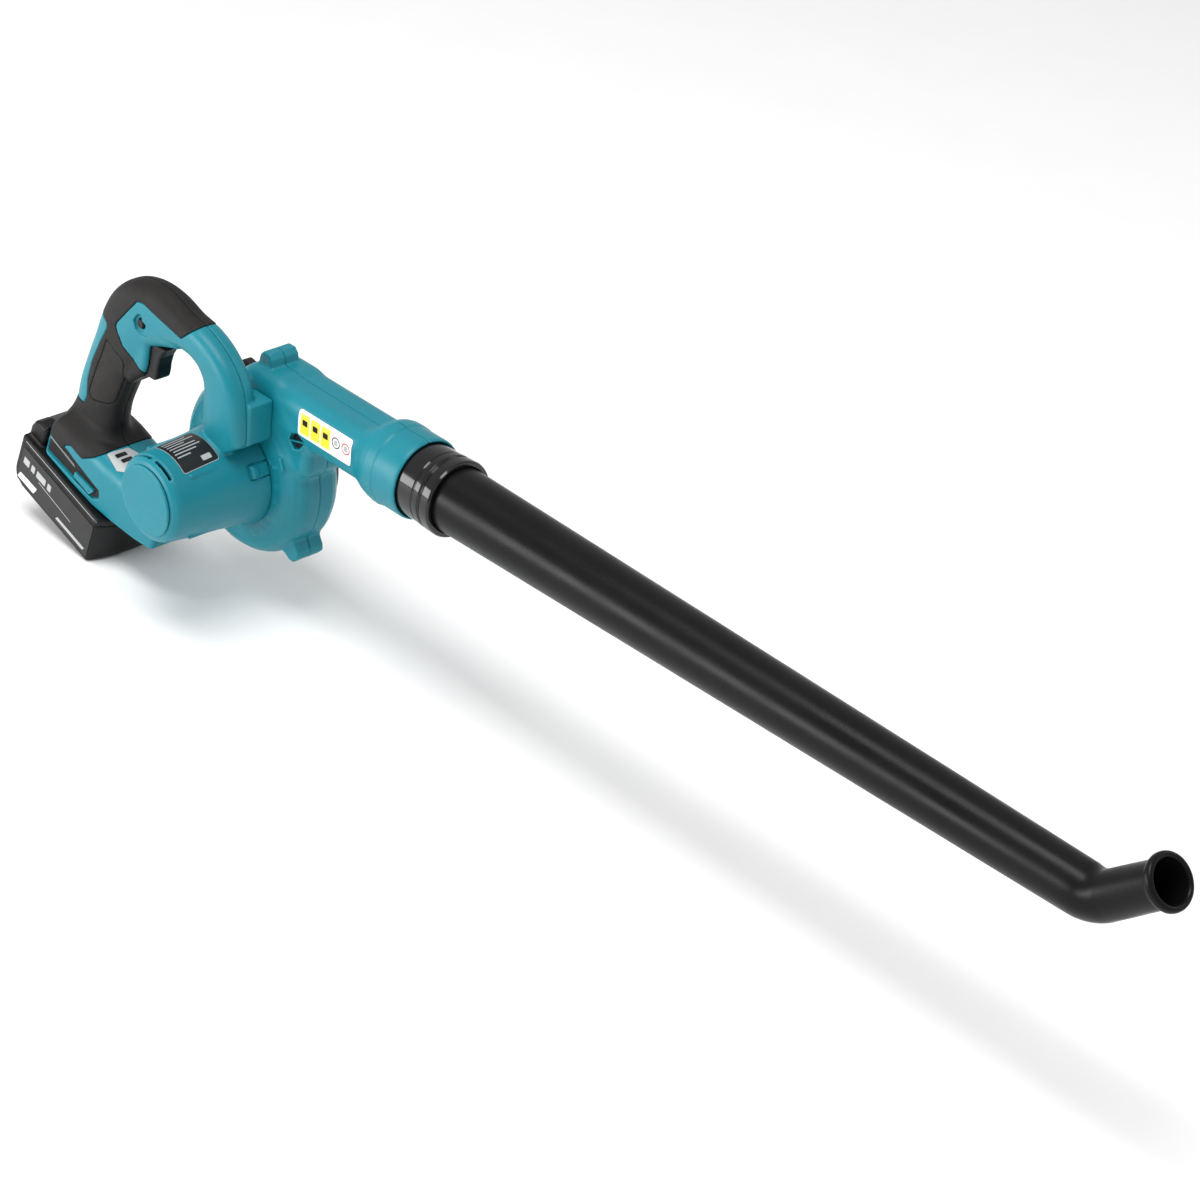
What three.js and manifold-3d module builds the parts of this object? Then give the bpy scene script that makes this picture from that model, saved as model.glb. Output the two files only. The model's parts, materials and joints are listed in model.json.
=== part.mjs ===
// Cordless leaf blower with a long nozzle, as an assembly of separate pieces.
// Millimetres. +X is the way the air leaves, +Y is the tool's left, +Z is up.
// Shapes are laid out around the motor axis (parallel to Y through X = Z = 0) with the blower's
// seam at Y = 0; the finished group is moved so that its origin is the middle of the motor cover.
import * as THREE from "three";
import Module from "manifold-3d";
import { mergeVertices } from "three/addons/utils/BufferGeometryUtils.js";

const wasm = await Module();
wasm.setup();

// ---- driving dimensions ----------------------------------------------------------------------
const GAP = 0.3; // between neighbouring pieces
const WALL = 3; // moulded casing thickness
const COARSE = 0.05; // how far a large casing's flats may be merged
const CAP_Y = -121; // flat face of the motor cover
const HANDLE_Y = -52; // seam of the two handle halves
const NOZZLE_Z = 74; // height of the air stream above the motor axis
const SCROLL_R = 75; // fan casing rim
const SCROLL_HALF = 27; // fan casing half thickness
const RIM_HALF = 14; // half width of its rim
const DUCT_HALF_Y = 26;
const DUCT_HALF_Z = 22.5;
const COLLAR_R = 34.5;
const COLLAR_START = 164;
const COLLAR_END = 200;
const SLEEVE_R = 31.4;
const SLEEVE_START = 172;
const TUBE_START = 238; // where the tube leaves its sleeve
const TUBE_R = 27.5;
const BEND_R = 20.3; // tube radius at the bend
const TIP_R = 17.2;
const RIM_R = 21;
const TUBE_WALL = 2;
const BEND_X = 884; // where the two tube axes cross
const BEND_ANGLE = THREE.MathUtils.degToRad(40);
const BEND_SWEEP = 34; // radius of the bend's centre line
const TIP_LENGTH = 70;
const FOOT_TILT = THREE.MathUtils.degToRad(18);
const FOOT_ORIGIN = new THREE.Vector3(-156.3, HANDLE_Y, -60.7); // middle of the pack's top face
const PACK_LENGTH = 113;
const PACK_WIDTH = 75;
const PACK_HEIGHT = 50;
const CAN_R = 29; // motor can
const BARREL_R = 43.5; // motor barrel where it meets the fan casing
const CAP_R = 30.5; // flat of the motor cover
const IMPELLER_R = 60;
const SHAFT_R = 2.5;

// ---- colours ---------------------------------------------------------------------------------
const finish = (color, roughness, metalness = 0) => ({ color, roughness, metalness });
const TEAL = finish(0x0f8591, 0.45);
const RUBBER = finish(0x232120, 0.7);
const BLACK = finish(0x17171a, 0.4);
const SATIN = finish(0x1c1c1e, 0.5);
const PACK = finish(0x2b2a2b, 0.5);
const STEEL = finish(0x9aa0a5, 0.35, 1);
const COPPER = finish(0xb06a35, 0.4, 1);
const PAPER = finish(0xe8e8e6, 0.5);
const RED = finish(0xa82020, 0.5);
const BOARD = finish(0x1f5a34, 0.6);
const CELL = finish(0x3f8f9f, 0.4);

// ---- helpers ---------------------------------------------------------------------------------
const v2 = (x, y) => new THREE.Vector2(x, y);
const v3 = (x, y, z) => new THREE.Vector3(x, y, z);

// A closed three.js geometry as a solid that can be cut and joined, its faces turned outwards.
function solid(geometry) {
  const bare = geometry.index ? geometry.toNonIndexed() : geometry.clone();
  bare.deleteAttribute("normal");
  bare.deleteAttribute("uv");
  const merged = mergeVertices(bare, 1e-4);
  const kept = [];
  for (let i = 0; i < merged.index.count; i += 3) {
    const [a, b, c] = [0, 1, 2].map((k) => merged.index.getX(i + k));
    if (a !== b && b !== c && c !== a) kept.push(a, b, c);
  }
  const build = (triVerts) =>
    new wasm.Manifold(
      new wasm.Mesh({
        numProp: 3,
        vertProperties: Float32Array.from(merged.attributes.position.array),
        triVerts: Uint32Array.from(triVerts),
      }),
    );
  const made = build(kept);
  return made.volume() > 0 ? made : build(kept.reverse());
}

// The solid's main body as a geometry again, without the slivers that cuts leave.
function geometryOf(made, tolerance) {
  const [main] = made.simplify(tolerance).decompose().sort((a, b) => b.volume() - a.volume());
  const mesh = main.getMesh();
  const geometry = new THREE.BufferGeometry();
  geometry.setAttribute("position", new THREE.BufferAttribute(Float32Array.from(mesh.vertProperties), 3));
  geometry.setIndex(new THREE.BufferAttribute(Uint32Array.from(mesh.triVerts), 1));
  const flat = geometry.toNonIndexed();
  flat.computeVertexNormals();
  return flat;
}

const group = new THREE.Group();
group.name = "leaf_blower";

function add(name, made, look, tolerance = 0.01) {
  const material = new THREE.MeshStandardMaterial(look);
  const mesh = new THREE.Mesh(geometryOf(made, tolerance), material);
  mesh.name = name;
  group.add(mesh);
  return mesh;
}

const join = (...list) => list.reduce((a, b) => a.add(b));
const cut = (first, ...rest) => rest.reduce((a, b) => a.subtract(b), first);

// A box from its lowest to its highest corner.
function box(x0, x1, y0, y1, z0, z1) {
  const g = new THREE.BoxGeometry(x1 - x0, y1 - y0, z1 - z0);
  g.translate((x0 + x1) / 2, (y0 + y1) / 2, (z0 + z1) / 2);
  return solid(g);
}

// A profile of [radius, y] turned about the Y axis through (x, z).
function turnedY(profile, x = 0, z = 0, segments = 40) {
  const g = new THREE.LatheGeometry(profile.map(([r, y]) => v2(r, y)), segments);
  g.translate(x, 0, z);
  return solid(g);
}

// A profile of [radius, x] turned about the X axis through (y, z).
function turnedX(profile, y = 0, z = 0, segments = 40) {
  const g = new THREE.LatheGeometry(profile.map(([r, x]) => v2(r, -x)).reverse(), segments);
  g.rotateZ(Math.PI / 2);
  g.translate(0, y, z);
  return solid(g);
}

const rodY = (r, y0, y1, x = 0, z = 0, segments = 24) =>
  turnedY([[0, y0], [r, y0], [r, y1], [0, y1]], x, z, segments);

const ringY = (inner, outer, y0, y1, x = 0, z = 0, segments = 32) =>
  turnedY([[inner, y0], [outer, y0], [outer, y1], [inner, y1], [inner, y0]], x, z, segments);

const rodX = (r, x0, x1, y = 0, z = 0, segments = 32) =>
  turnedX([[0, x0], [r, x0], [r, x1], [0, x1]], y, z, segments);

// A closed outline of [x, z] points, pushed from y0 to y1.
function plate(outline, y0, y1) {
  const shape = new THREE.Shape(outline.map(([x, z]) => v2(x, z)));
  const g = new THREE.ExtrudeGeometry(shape, { depth: y1 - y0, bevelEnabled: false, curveSegments: 12 });
  g.rotateX(Math.PI / 2);
  g.translate(0, y1, 0);
  return solid(g);
}

// A skin through rings of points, closed with a fan at each end.
function loft(rings) {
  const n = rings[0].length;
  const points = rings.flat();
  const faces = [];
  for (let i = 0; i + 1 < rings.length; i++)
    for (let j = 0; j < n; j++) {
      const a = i * n + j;
      const b = i * n + ((j + 1) % n);
      faces.push(a, b, b + n, a, b + n, a + n);
    }
  const last = (rings.length - 1) * n;
  for (let j = 1; j + 1 < n; j++) {
    faces.push(0, j + 1, j);
    faces.push(last, last + j, last + j + 1);
  }
  const g = new THREE.BufferGeometry();
  g.setAttribute("position", new THREE.Float32BufferAttribute(points.flatMap((p) => [p.x, p.y, p.z]), 3));
  g.setIndex(faces);
  return solid(g);
}

// A rounded ring: half sizes a along `side` and b along `up`; power 2 is an ellipse, 4 nearly a box.
function ring(centre, side, up, a, b, power, count) {
  return Array.from({ length: count }, (_, k) => {
    const t = (2 * Math.PI * (k + 0.5)) / count;
    const c = Math.cos(t);
    const s = Math.sin(t);
    const u = a * Math.sign(c) * Math.abs(c) ** (2 / power);
    const w = b * Math.sign(s) * Math.abs(s) ** (2 / power);
    return centre.clone().addScaledVector(side, u).addScaledVector(up, w);
  });
}

// Moves a solid from the pack's own frame (x along it, z out of its top) to where it sits.
const packPlace = new THREE.Matrix4().makeRotationY(FOOT_TILT).setPosition(FOOT_ORIGIN);
const onPack = (made) => made.transform(packPlace.toArray());
const AXIS_Y = v3(0, 1, 0);
const AXIS_Z = v3(0, 0, 1);

// ---- fan casing: scroll, duct, collar and screw lugs ------------------------------------------
// Half of the scroll's section, shrunk by `inset` on every side.
function scrollBody(inset, segments = 40, steps = 3) {
  const rim = SCROLL_R - inset;
  const half = SCROLL_HALF - inset;
  const shoulder = Array.from({ length: steps + 1 }, (_, k) => {
    const t = (Math.PI / 2) * (k / steps);
    return [60 - inset + 15 * Math.sin(t), half - (half - RIM_HALF) * (1 - Math.cos(t))];
  });
  const near = shoulder.map(([r, y]) => [r, -y]);
  const far = shoulder.map(([r, y]) => [r, y]).reverse();
  return turnedY([[0, -half], ...near.map(([r, y]) => [Math.min(r, rim), y]),
    ...far.map(([r, y]) => [Math.min(r, rim), y]), [0, half]], 0, 0, segments);
}

function ductBody(inset, start, end, count = 28) {
  const at = (x, a, b, power) =>
    ring(v3(x, 0, NOZZLE_Z), AXIS_Y, AXIS_Z, a - inset, b - inset, power, count);
  return loft([
    at(start, DUCT_HALF_Y, DUCT_HALF_Z, 4),
    at(142, DUCT_HALF_Y, DUCT_HALF_Z, 4),
    at(154, DUCT_HALF_Y + 4, DUCT_HALF_Z + 6, 2.8),
    at(end, COLLAR_R, COLLAR_R, 2),
  ]);
}

// The rise of the scroll into the duct, above the motor axis.
function throatBody(inset) {
  const top = NOZZLE_Z + DUCT_HALF_Z - 2;
  const outer = [[-30, 62], [-14, 83], [2, 92], [18, top], [40, top],
    [84, 56], [80, 20], [40, 30], [0, 40]];
  const inner = [[-24, 62], [-10, 79], [4, 88], [18, top - 3], [38, top - 3],
    [79, 52], [76, 24], [40, 34], [0, 44]];
  const half = DUCT_HALF_Y - 5 - inset;
  return plate(inset ? inner : outer, -half, half);
}

// A screw boss on the seam: its foot at (x, z), pointing along `angle`.
function lug(x, z, angle, width, height, half) {
  const w = width / 2;
  const outline = [[-w - 2, -12], [-w - 1, 0], [-w + 1, height - 3], [-w + 4, height],
    [w - 4, height], [w - 1, height - 3], [w + 1, 0], [w + 2, -12]];
  const turn = angle - Math.PI / 2;
  return plate(outline.map(([u, v]) => [
    x + u * Math.cos(turn) - v * Math.sin(turn),
    z + u * Math.sin(turn) + v * Math.cos(turn),
  ]), -half, half);
}

const deg = THREE.MathUtils.degToRad;
const onRim = (angle, r) => [r * Math.cos(angle), r * Math.sin(angle)];
const LUGS = [
  { at: [16, NOZZLE_Z + DUCT_HALF_Z - 1], angle: deg(90), width: 18, height: 14, half: 14 },
  { at: onRim(deg(-44), SCROLL_R - 1), angle: deg(-44), width: 18, height: 14, half: 14 },
  { at: onRim(deg(-122), SCROLL_R - 1), angle: deg(-122), width: 18, height: 12, half: 12 },
  { at: [155, NOZZLE_Z - DUCT_HALF_Z + 1], angle: deg(-90), width: 20, height: 16, half: 12 },
];
const lugScrew = ({ at, angle, height }) => onRimFrom(at, angle, height - 8);
function onRimFrom([x, z], angle, r) {
  return [x + r * Math.cos(angle), z + r * Math.sin(angle)];
}

const MOTOR_HOLE_R = 33;
const INTAKE_R = 38;
const SLEEVE_BORE = SLEEVE_R + 0.15;
const casing = cut(
  join(
    scrollBody(0),
    throatBody(0),
    ductBody(0, 10, COLLAR_START),
    turnedX([[0, COLLAR_START - 1], [COLLAR_R, COLLAR_START - 1], [COLLAR_R, COLLAR_END - 3],
      [COLLAR_R - 1.5, COLLAR_END], [0, COLLAR_END]], 0, NOZZLE_Z, 40),
    ...LUGS.map((l) => lug(l.at[0], l.at[1], l.angle, l.width, l.height, l.half)),
  ),
  join(scrollBody(WALL, 32, 2), throatBody(WALL), ductBody(WALL, 14, COLLAR_START + 1, 24)),
  rodX(SLEEVE_BORE, COLLAR_START, COLLAR_END + 5, 0, NOZZLE_Z, 40),
  rodX(SLEEVE_R + 1.4, COLLAR_END - 7, COLLAR_END + 5, 0, NOZZLE_Z, 32),
  rodY(MOTOR_HOLE_R, -SCROLL_HALF - 1, -10, 0, 0, 40),
  rodY(INTAKE_R, 10, SCROLL_HALF + 1, 0, 0, 40),
);
const BIG = 2000;
const half = (y0, y1) => box(-BIG, BIG, y0, y1, -BIG, BIG);
const screwHoles = LUGS.map((l) => {
  const [x, z] = lugScrew(l);
  return rodY(2.4, -l.half + 2.5, 30, x, z, 14);
});
const headHoles = LUGS.map((l) => {
  const [x, z] = lugScrew(l);
  return rodY(4.2, l.half - 4, 30, x, z, 16);
});
const casingDrilled = cut(casing, ...screwHoles, ...headHoles);
add("scroll_right", casingDrilled.intersect(half(-BIG, -GAP / 2)), TEAL, COARSE);
add("scroll_left", casingDrilled.intersect(half(GAP / 2, BIG)), TEAL, COARSE);

// A pan-head screw along Y, head towards +Y.
function screw(name, x, z, headY, length, headR = 3.6, shankR = 2) {
  add(name, turnedY([[0, headY - length], [shankR, headY - length], [shankR, headY - 2.4],
    [headR, headY - 2.4], [headR, headY], [0, headY]], x, z, 10), STEEL);
}
LUGS.forEach((l, i) => {
  const [x, z] = lugScrew(l);
  screw(`scroll_screw_${i + 1}`, x, z, l.half - 1, l.half * 2 - 4);
});

// ---- intake cover on the left -----------------------------------------------------------------
const COVER_IN = SCROLL_HALF + GAP;
const coverSlots = [];
for (let k = 0; k < 12; k++) {
  const slot = box(14, 44, COVER_IN - 5, COVER_IN + 14, -3, 3);
  coverSlots.push(slot.rotate([0, 30 * k, 0]));
}
const coverTab = plate([[-42, 24], [-28, 38], [-50, 56], [-62, 58], [-70, 53], [-72, 44]],
  COVER_IN, COVER_IN + 8.5);
add("intake_cover", cut(
  join(
    turnedY([[0, COVER_IN + 8], [46, COVER_IN + 8], [50, COVER_IN + 5], [51, COVER_IN], [58, COVER_IN],
      [56, COVER_IN + 8], [50, COVER_IN + 12], [0, COVER_IN + 12]], 0, 0, 40),
    coverTab.subtract(rodY(52, 0, 60, 0, 0, 40)),
  ),
  ...coverSlots,
), BLACK);

// ---- handle: one long bar that rises from the pack foot, turns over and drops to the barrel -----
// Stations of the bar's centre line: x, z, half depth, half width.
const STATIONS = [
  [-154, -34, 36, 25], [-151.4, -19.8, 30.5, 20], [-147.2, -3.6, 26.6, 17], [-142.4, 18.5, 25.8, 16.5],
  [-132.4, 43.6, 26.4, 16.5], [-122.9, 64.7, 27.2, 16.5], [-114, 85.2, 28.1, 16.5], [-103.4, 102, 28.8, 16.5],
  [-89, 114, 28.6, 16.5], [-71, 120, 27, 16.5], [-52.5, 121.6, 22.6, 16], [-33, 120.4, 16.4, 15.5],
  [-14.6, 117.8, 15.2, 15.5], [-0.1, 111.3, 15.9, 15.5], [10.6, 101, 18.4, 15.5], [16.6, 88.9, 21.5, 15.5],
  [18.8, 74, 23.1, 15.5], [18.3, 56, 24.4, 14], [17.5, 34, 25.2, 9],
];
const barCurve = new THREE.CatmullRomCurve3(
  STATIONS.map(([x, z]) => v3(x, HANDLE_Y, z)), false, "centripetal");
// Its skin through the stations, with one more ring between those of the upper bend.
function barBody(inset, count = 20, firstFine = 5, lastFine = 15) {
  const rings = [];
  const last = STATIONS.length - 1;
  for (let i = 0; i <= last * 2; i++) {
    const station = i / 2;
    if (i % 2 === 1 && (station < firstFine || station > lastFine)) continue;
    const t = station / last;
    const k = Math.min(Math.floor(t * last), last - 1);
    const part = t * last - k;
    const depth = THREE.MathUtils.lerp(STATIONS[k][2], STATIONS[k + 1][2], part);
    const width = THREE.MathUtils.lerp(STATIONS[k][3], STATIONS[k + 1][3], part);
    const tangent = barCurve.getTangent(t);
    const out = v3(-tangent.z, 0, tangent.x);
    rings.push(ring(barCurve.getPoint(t), out, AXIS_Y, depth - inset, width - inset, 2.9, count));
  }
  return loft(rings);
}

// The fuller inside corner of the grip that houses the trigger.
function triggerHousing(inset) {
  const half = 12.5 - inset;
  const outline = [[-116, 60], [-98 - inset * 0.7, 46 + inset], [-88 - inset * 0.7, 55 + inset],
    [-79 - inset * 0.5, 62 + inset], [-75, 72], [-72.5, 92], [-58, 97], [-38, 103.5],
    [-60, 116], [-100, 104]];
  return plate(outline, HANDLE_Y - half, HANDLE_Y + half);
}

// The foot that carries the pack, in the pack's frame.
function footBody(inset, count = 24) {
  const at = (x, halfWidth, low, high, power) => {
    const middle = v3(x, 0, (low + high) / 2);
    return ring(middle, AXIS_Y, AXIS_Z, halfWidth - inset, (high - low) / 2 - inset, power, count);
  };
  return onPack(loft([
    at(-34 + inset, 31, 0.4, 36, 5),
    at(-26, 33.5, 0.4, 45.5, 4.5),
    at(10, 33.5, 0.4, 50.5, 4.5),
    at(38, 32.5, 0.4, 52.5, 4),
    at(62, 30, 2, 54.5, 3.2),
    at(90, 27, 6, 56.5, 2.6),
    at(112, 25, 12, 58.5, 2.4),
  ]));
}

// The barrel around the motor, from just behind the cover to the fan casing.
const BARREL_END = -SCROLL_HALF - GAP;
const barrelProfile = (inset) => [
  [0, -118 + inset], [CAP_R + 1.5 - inset, -118 + inset], [36 - inset, -114.5 + inset * 0.5],
  [37.6 - inset, -111], [39.5 - inset, -90], [41.5 - inset, -62], [BARREL_R - inset, -44],
  [BARREL_R + 3 - inset, BARREL_END], [0, BARREL_END],
];
const barrel = turnedY(barrelProfile(0), 0, 0, 36);
const barrelHollow = turnedY([[0, -112], [34, -112], [36, -90], [38, -62], [40, -44],
  [41, BARREL_END + 1], [0, BARREL_END + 1]], 0, 0, 28);

// The black rubber skin: where it lies on the bar and on the foot, seen from the side.
const SKIN = 2.2;
const barSkinOutline = [[-2, 150], [-14, 131], [-27, 120], [-74, 129], [-82, 129], [-89, 122],
  [-113, 95], [-103, 82], [-89, 71], [-79, 64.5], [-70, 50], [-84, 20], [-60, -20], [-120, -70],
  [-240, -70], [-240, 170], [-2, 170]];
const skinZone = plate(barSkinOutline, -120, 20);
const footSkinZone = onPack(plate([[-60, 22], [-12, 22], [-8, 29], [-2, 34], [14, 33.3], [25.4, 44],
  [30, 50], [30, 80], [-60, 120]], -60, 60));
const skinRegion = skinZone.intersect(join(footSkinZone,
  onPack(box(-90, 120, -24, 24, 70, 300)), onPack(box(-90, -8, -60, 60, 22, 80))));

const bar = barBody(0);
const foot = footBody(0);
// The pack's raised back slides in and out below this corner.
const packClear = onPack(box(-150, -34.4, -70, 70, -80, 27));
const shape = join(bar, foot, triggerHousing(0)).subtract(packClear);
const shapeInner = join(barBody(SKIN, 16), footBody(SKIN, 20), triggerHousing(SKIN)).subtract(packClear);
const barHollow = barBody(SKIN + WALL, 12, 99);
const footHollow = footBody(SKIN + WALL, 16);
// The space under the arm's sloping end, which rises away from the barrel.
const armEnd = (lift) => plate([[5, 22.3 + lift], [60, 60.2 + lift], [60, -20], [5, -20]],
  HANDLE_Y - 30, HANDLE_Y + 30);
const handleHollow = join(barHollow, footHollow).subtract(join(
  onPack(box(-40, 60, -40, 40, -5, 17)),
  rodY(BARREL_R - 1, -130, 10, 0, 0, 40),
  armEnd(6),
));

// The channel that the pack's rail slides along, open at the back.
const strapRecess = onPack(plate([[-31, 23], [-12, 24], [-6, 27], [42, 21], [44, 13], [37, 7], [-29, 4]],
  -40, -30));
const railSlot = onPack(join(
  box(-60, 46.3, -24.6, 24.6, -2, 8.4),
  box(-60, 46.3, -27.6, 27.6, 7.4, 12.8),
  box(23.9, 44.5, -8.3, 8.3, 12, 17.4),
));
const teeth = shape.subtract(skinRegion);
const handleCore = cut(join(teeth, shapeInner), handleHollow, railSlot, strapRecess);

// Pockets for the trigger and the lock button.
const triggerPocket = plate([[-100, 66], [-90, 58.5], [-60, 58.5], [-40, 72], [-40, 94.6], [-100, 94.6]],
  HANDLE_Y - 8.4, HANDLE_Y + 8.4);
const LOCK = { x: -80, z: 110 };
const lockRecess = plate([[-7, 0], [-2, 7], [3, 9], [3, 4], [8, 2], [6, -4], [9, -8], [0, -9], [-5, -6]]
  .map(([x, z]) => [LOCK.x + x, LOCK.z + z]), HANDLE_Y - 30, HANDLE_Y - 13.6);
const lockHole = rodY(4.6, HANDLE_Y - 30, HANDLE_Y - 5, LOCK.x, LOCK.z, 20);
const stepBlock = box(24, 44, HANDLE_Y + GAP / 2, -SCROLL_HALF - GAP, 34, 84).subtract(armEnd(0));

const handleScrews = [[-140, 14], [-109, 106], [-36, 120.5], [3, 112.5]];
const HANDLE_SCREW_HEAD = HANDLE_Y + 13.4;
const handleDrill = handleScrews.map(([x, z]) => join(
  rodY(2.3, HANDLE_Y - 11, HANDLE_Y + 20, x, z, 14),
  rodY(4, HANDLE_SCREW_HEAD - 3.2, HANDLE_Y + 30, x, z, 16),
));
const handleBosses = join(...handleScrews.map(([x, z]) =>
  rodY(5.5, HANDLE_Y - 13, HANDLE_Y + 13, x, z, 16))).intersect(shapeInner);
const handleSolid = cut(join(handleCore, handleBosses), triggerPocket, lockRecess, lockHole,
  armEnd(0), ...handleDrill);

// The motor cover closes the barrel's end.
const capSeat = rodY(CAP_R - 1, -130, -110, 0, 0, 40);
const ventSlot = (from, to) => {
  const shapeOfSlot = new THREE.Shape();
  shapeOfSlot.absarc(0, 0, 40, from, to, false);
  shapeOfSlot.absarc(0, 0, 30, to, from, true);
  const g = new THREE.ExtrudeGeometry(shapeOfSlot, { depth: 2.4, bevelEnabled: false, curveSegments: 8 });
  g.rotateX(Math.PI / 2);
  g.translate(0, -111.4, 0);
  return solid(g);
};
const vents = [[50, 84], [92, 128], [-128, -92], [-84, -50]].map(([a, b]) => ventSlot(deg(a), deg(b)));
const barrelShell = cut(barrel, barrelHollow, capSeat, ...vents);

// Four fins hold the motor in its barrel.
const fin = box(-1.5, 1.5, -97, -48, CAN_R + GAP, 42);
const fins = join(...[45, 135, 225, 315].map((turn) => fin.rotate([0, turn, 0]))).intersect(barrel);
add("handle_right", join(
  handleSolid.intersect(half(-BIG, HANDLE_Y - GAP / 2)).subtract(barrelHollow), barrelShell, fins,
), TEAL, COARSE);
add("handle_left", cut(
  join(handleSolid.intersect(half(HANDLE_Y + GAP / 2, BIG)), stepBlock),
  turnedY(barrelProfile(-GAP), 0, 0, 36),
  half(BARREL_END, BIG).intersect(rodY(SCROLL_R + 12, BARREL_END, 40, 0, 0, 40)),
  ...handleDrill,
), TEAL, COARSE);
handleScrews.forEach(([x, z], i) => screw(`handle_screw_${i + 1}`, x, z, HANDLE_SCREW_HEAD, 24));

const underSkin = join(barBody(SKIN - GAP, 16), footBody(SKIN - GAP, 20), triggerHousing(SKIN - GAP));
const skin = cut(shape.intersect(skinRegion), strapRecess, triggerPocket, underSkin, ...handleDrill);
add("grip_rubber_right", skin.intersect(half(-BIG, HANDLE_Y - GAP / 2)), RUBBER, COARSE);
add("grip_rubber_left", skin.intersect(half(HANDLE_Y + GAP / 2, BIG)), RUBBER, COARSE);

// Motor cover with its rim.
add("motor_cover", turnedY([[0, CAP_Y], [CAP_R - 2, CAP_Y], [CAP_R, CAP_Y + 1.2], [CAP_R + 1, CAP_Y + 2.6],
  [CAP_R - 1 - GAP, -118 - GAP], [CAP_R - 1 - GAP, -111], [CAP_R - 4, -111], [CAP_R - 4, CAP_Y + 3],
  [0, CAP_Y + 3]], 0, 0, 32), TEAL);

// ---- motor, shaft and fan ----------------------------------------------------------------------
const BEARING_R = 8.2;
add("motor_can", turnedY([[BEARING_R + 0.1, -46], [BEARING_R + 0.1, -44], [CAN_R, -44], [CAN_R, -100],
  [CAN_R - 2, -100], [CAN_R - 2, -46], [BEARING_R + 0.1, -46]], 0, 0, 32), STEEL);
add("brush_plate", turnedY([[BEARING_R + 0.1, -104], [CAN_R - 0.5, -104], [CAN_R - 0.5, -101],
  [BEARING_R + 0.1, -101], [BEARING_R + 0.1, -104]], 0, 0, 28), SATIN);
for (const [name, sign] of [["magnet_upper", 1], ["magnet_lower", -1]]) {
  const slab = box(-40, 40, -92, -54, sign > 0 ? 5 : -40, sign > 0 ? 40 : -5);
  add(name, ringY(21.2, CAN_R - 2.3, -92, -54, 0, 0, 28).intersect(slab), SATIN);
}
const slots = Array.from({ length: 8 }, (_, k) =>
  box(8, 24, -91, -55, -1.6, 1.6).rotate([0, 45 * k, 0]));
add("armature", cut(ringY(SHAFT_R + 0.3, 20, -90, -56, 0, 0, 24), ...slots), COPPER);
add("commutator", ringY(SHAFT_R + 0.3, 8, -99, -92, 0, 0, 16), COPPER);
add("brush_front", box(8.6, 22, -97.5, -93.5, -2.5, 2.5), BLACK);
add("brush_back", box(-22, -8.6, -97.5, -93.5, -2.5, 2.5), BLACK);
add("bearing_fan_side", ringY(SHAFT_R + 0.1, BEARING_R, -50.5, -44.5, 0, 0, 24), STEEL);
add("bearing_cover_side", ringY(SHAFT_R + 0.1, BEARING_R, -106, -101.2, 0, 0, 24), STEEL);
add("motor_shaft", rodY(SHAFT_R, -107.5, 17, 0, 0, 32), STEEL);

const BLADES = 9;
const blades = Array.from({ length: BLADES }, (_, k) => {
  const curve = new THREE.QuadraticBezierCurve(v2(22, 0), v2(42, 2), v2(IMPELLER_R - 4, 20));
  const one = curve.getPoints(3).map((p) => [p.x, p.y]);
  const other = curve.getPoints(3).map((p) => [p.x, p.y + 2]).reverse();
  return plate([...one, ...other], -11.8, 13).rotate([0, (360 / BLADES) * k, 0]);
});
add("impeller", join(
  ringY(SHAFT_R + 0.3, 10, -16, 9, 0, 0, 24),
  ringY(8, IMPELLER_R, -14, -11.5, 0, 0, 40),
  ...blades,
), SATIN);
add("impeller_nut", ringY(SHAFT_R + 0.8, 5.5, 9.4, 13.4, 0, 0, 6), STEEL);

// ---- switch, trigger and lock button ---------------------------------------------------------------
// A coil of round wire along `axis` from `start`.
function coil(start, axis, radius, wire, length, turns) {
  const turn = new THREE.Quaternion().setFromUnitVectors(AXIS_Z, axis);
  const points = Array.from({ length: turns * 8 + 1 }, (_, k) => {
    const t = (2 * Math.PI * k) / 8;
    const rise = wire + ((length - 2 * wire) * k) / (turns * 8);
    return v3(radius * Math.cos(t), radius * Math.sin(t), rise).applyQuaternion(turn).add(start);
  });
  return roundBar(points, wire, 2);
}

// A round bar of the given radius through points.
function roundBar(points, radius, quarterSteps = 3) {
  const curve = new THREE.CatmullRomCurve3(points, false, "centripetal");
  const circle = new THREE.Shape();
  circle.absarc(0, 0, radius, 0, 2 * Math.PI, false);
  const g = new THREE.ExtrudeGeometry(circle, {
    steps: points.length - 1, curveSegments: quarterSteps, extrudePath: curve, bevelEnabled: false,
  });
  return solid(g);
}

const SWITCH_FACE = -104;
const PLUNGER_Z = 84;
const TRIGGER_HALF = 8;
const TRIGGER_TRAVEL = 6;
add("switch_body", cut(
  join(
    box(-122, SWITCH_FACE, HANDLE_Y - 8.5, HANDLE_Y + 8.5, 72, 97),
    box(-119, -109, HANDLE_Y - 3, HANDLE_Y + 3, 66, 73),
  ),
  rodX(4.8, SWITCH_FACE - 12, SWITCH_FACE + 1, HANDLE_Y, PLUNGER_Z, 20),
), SATIN);
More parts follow.
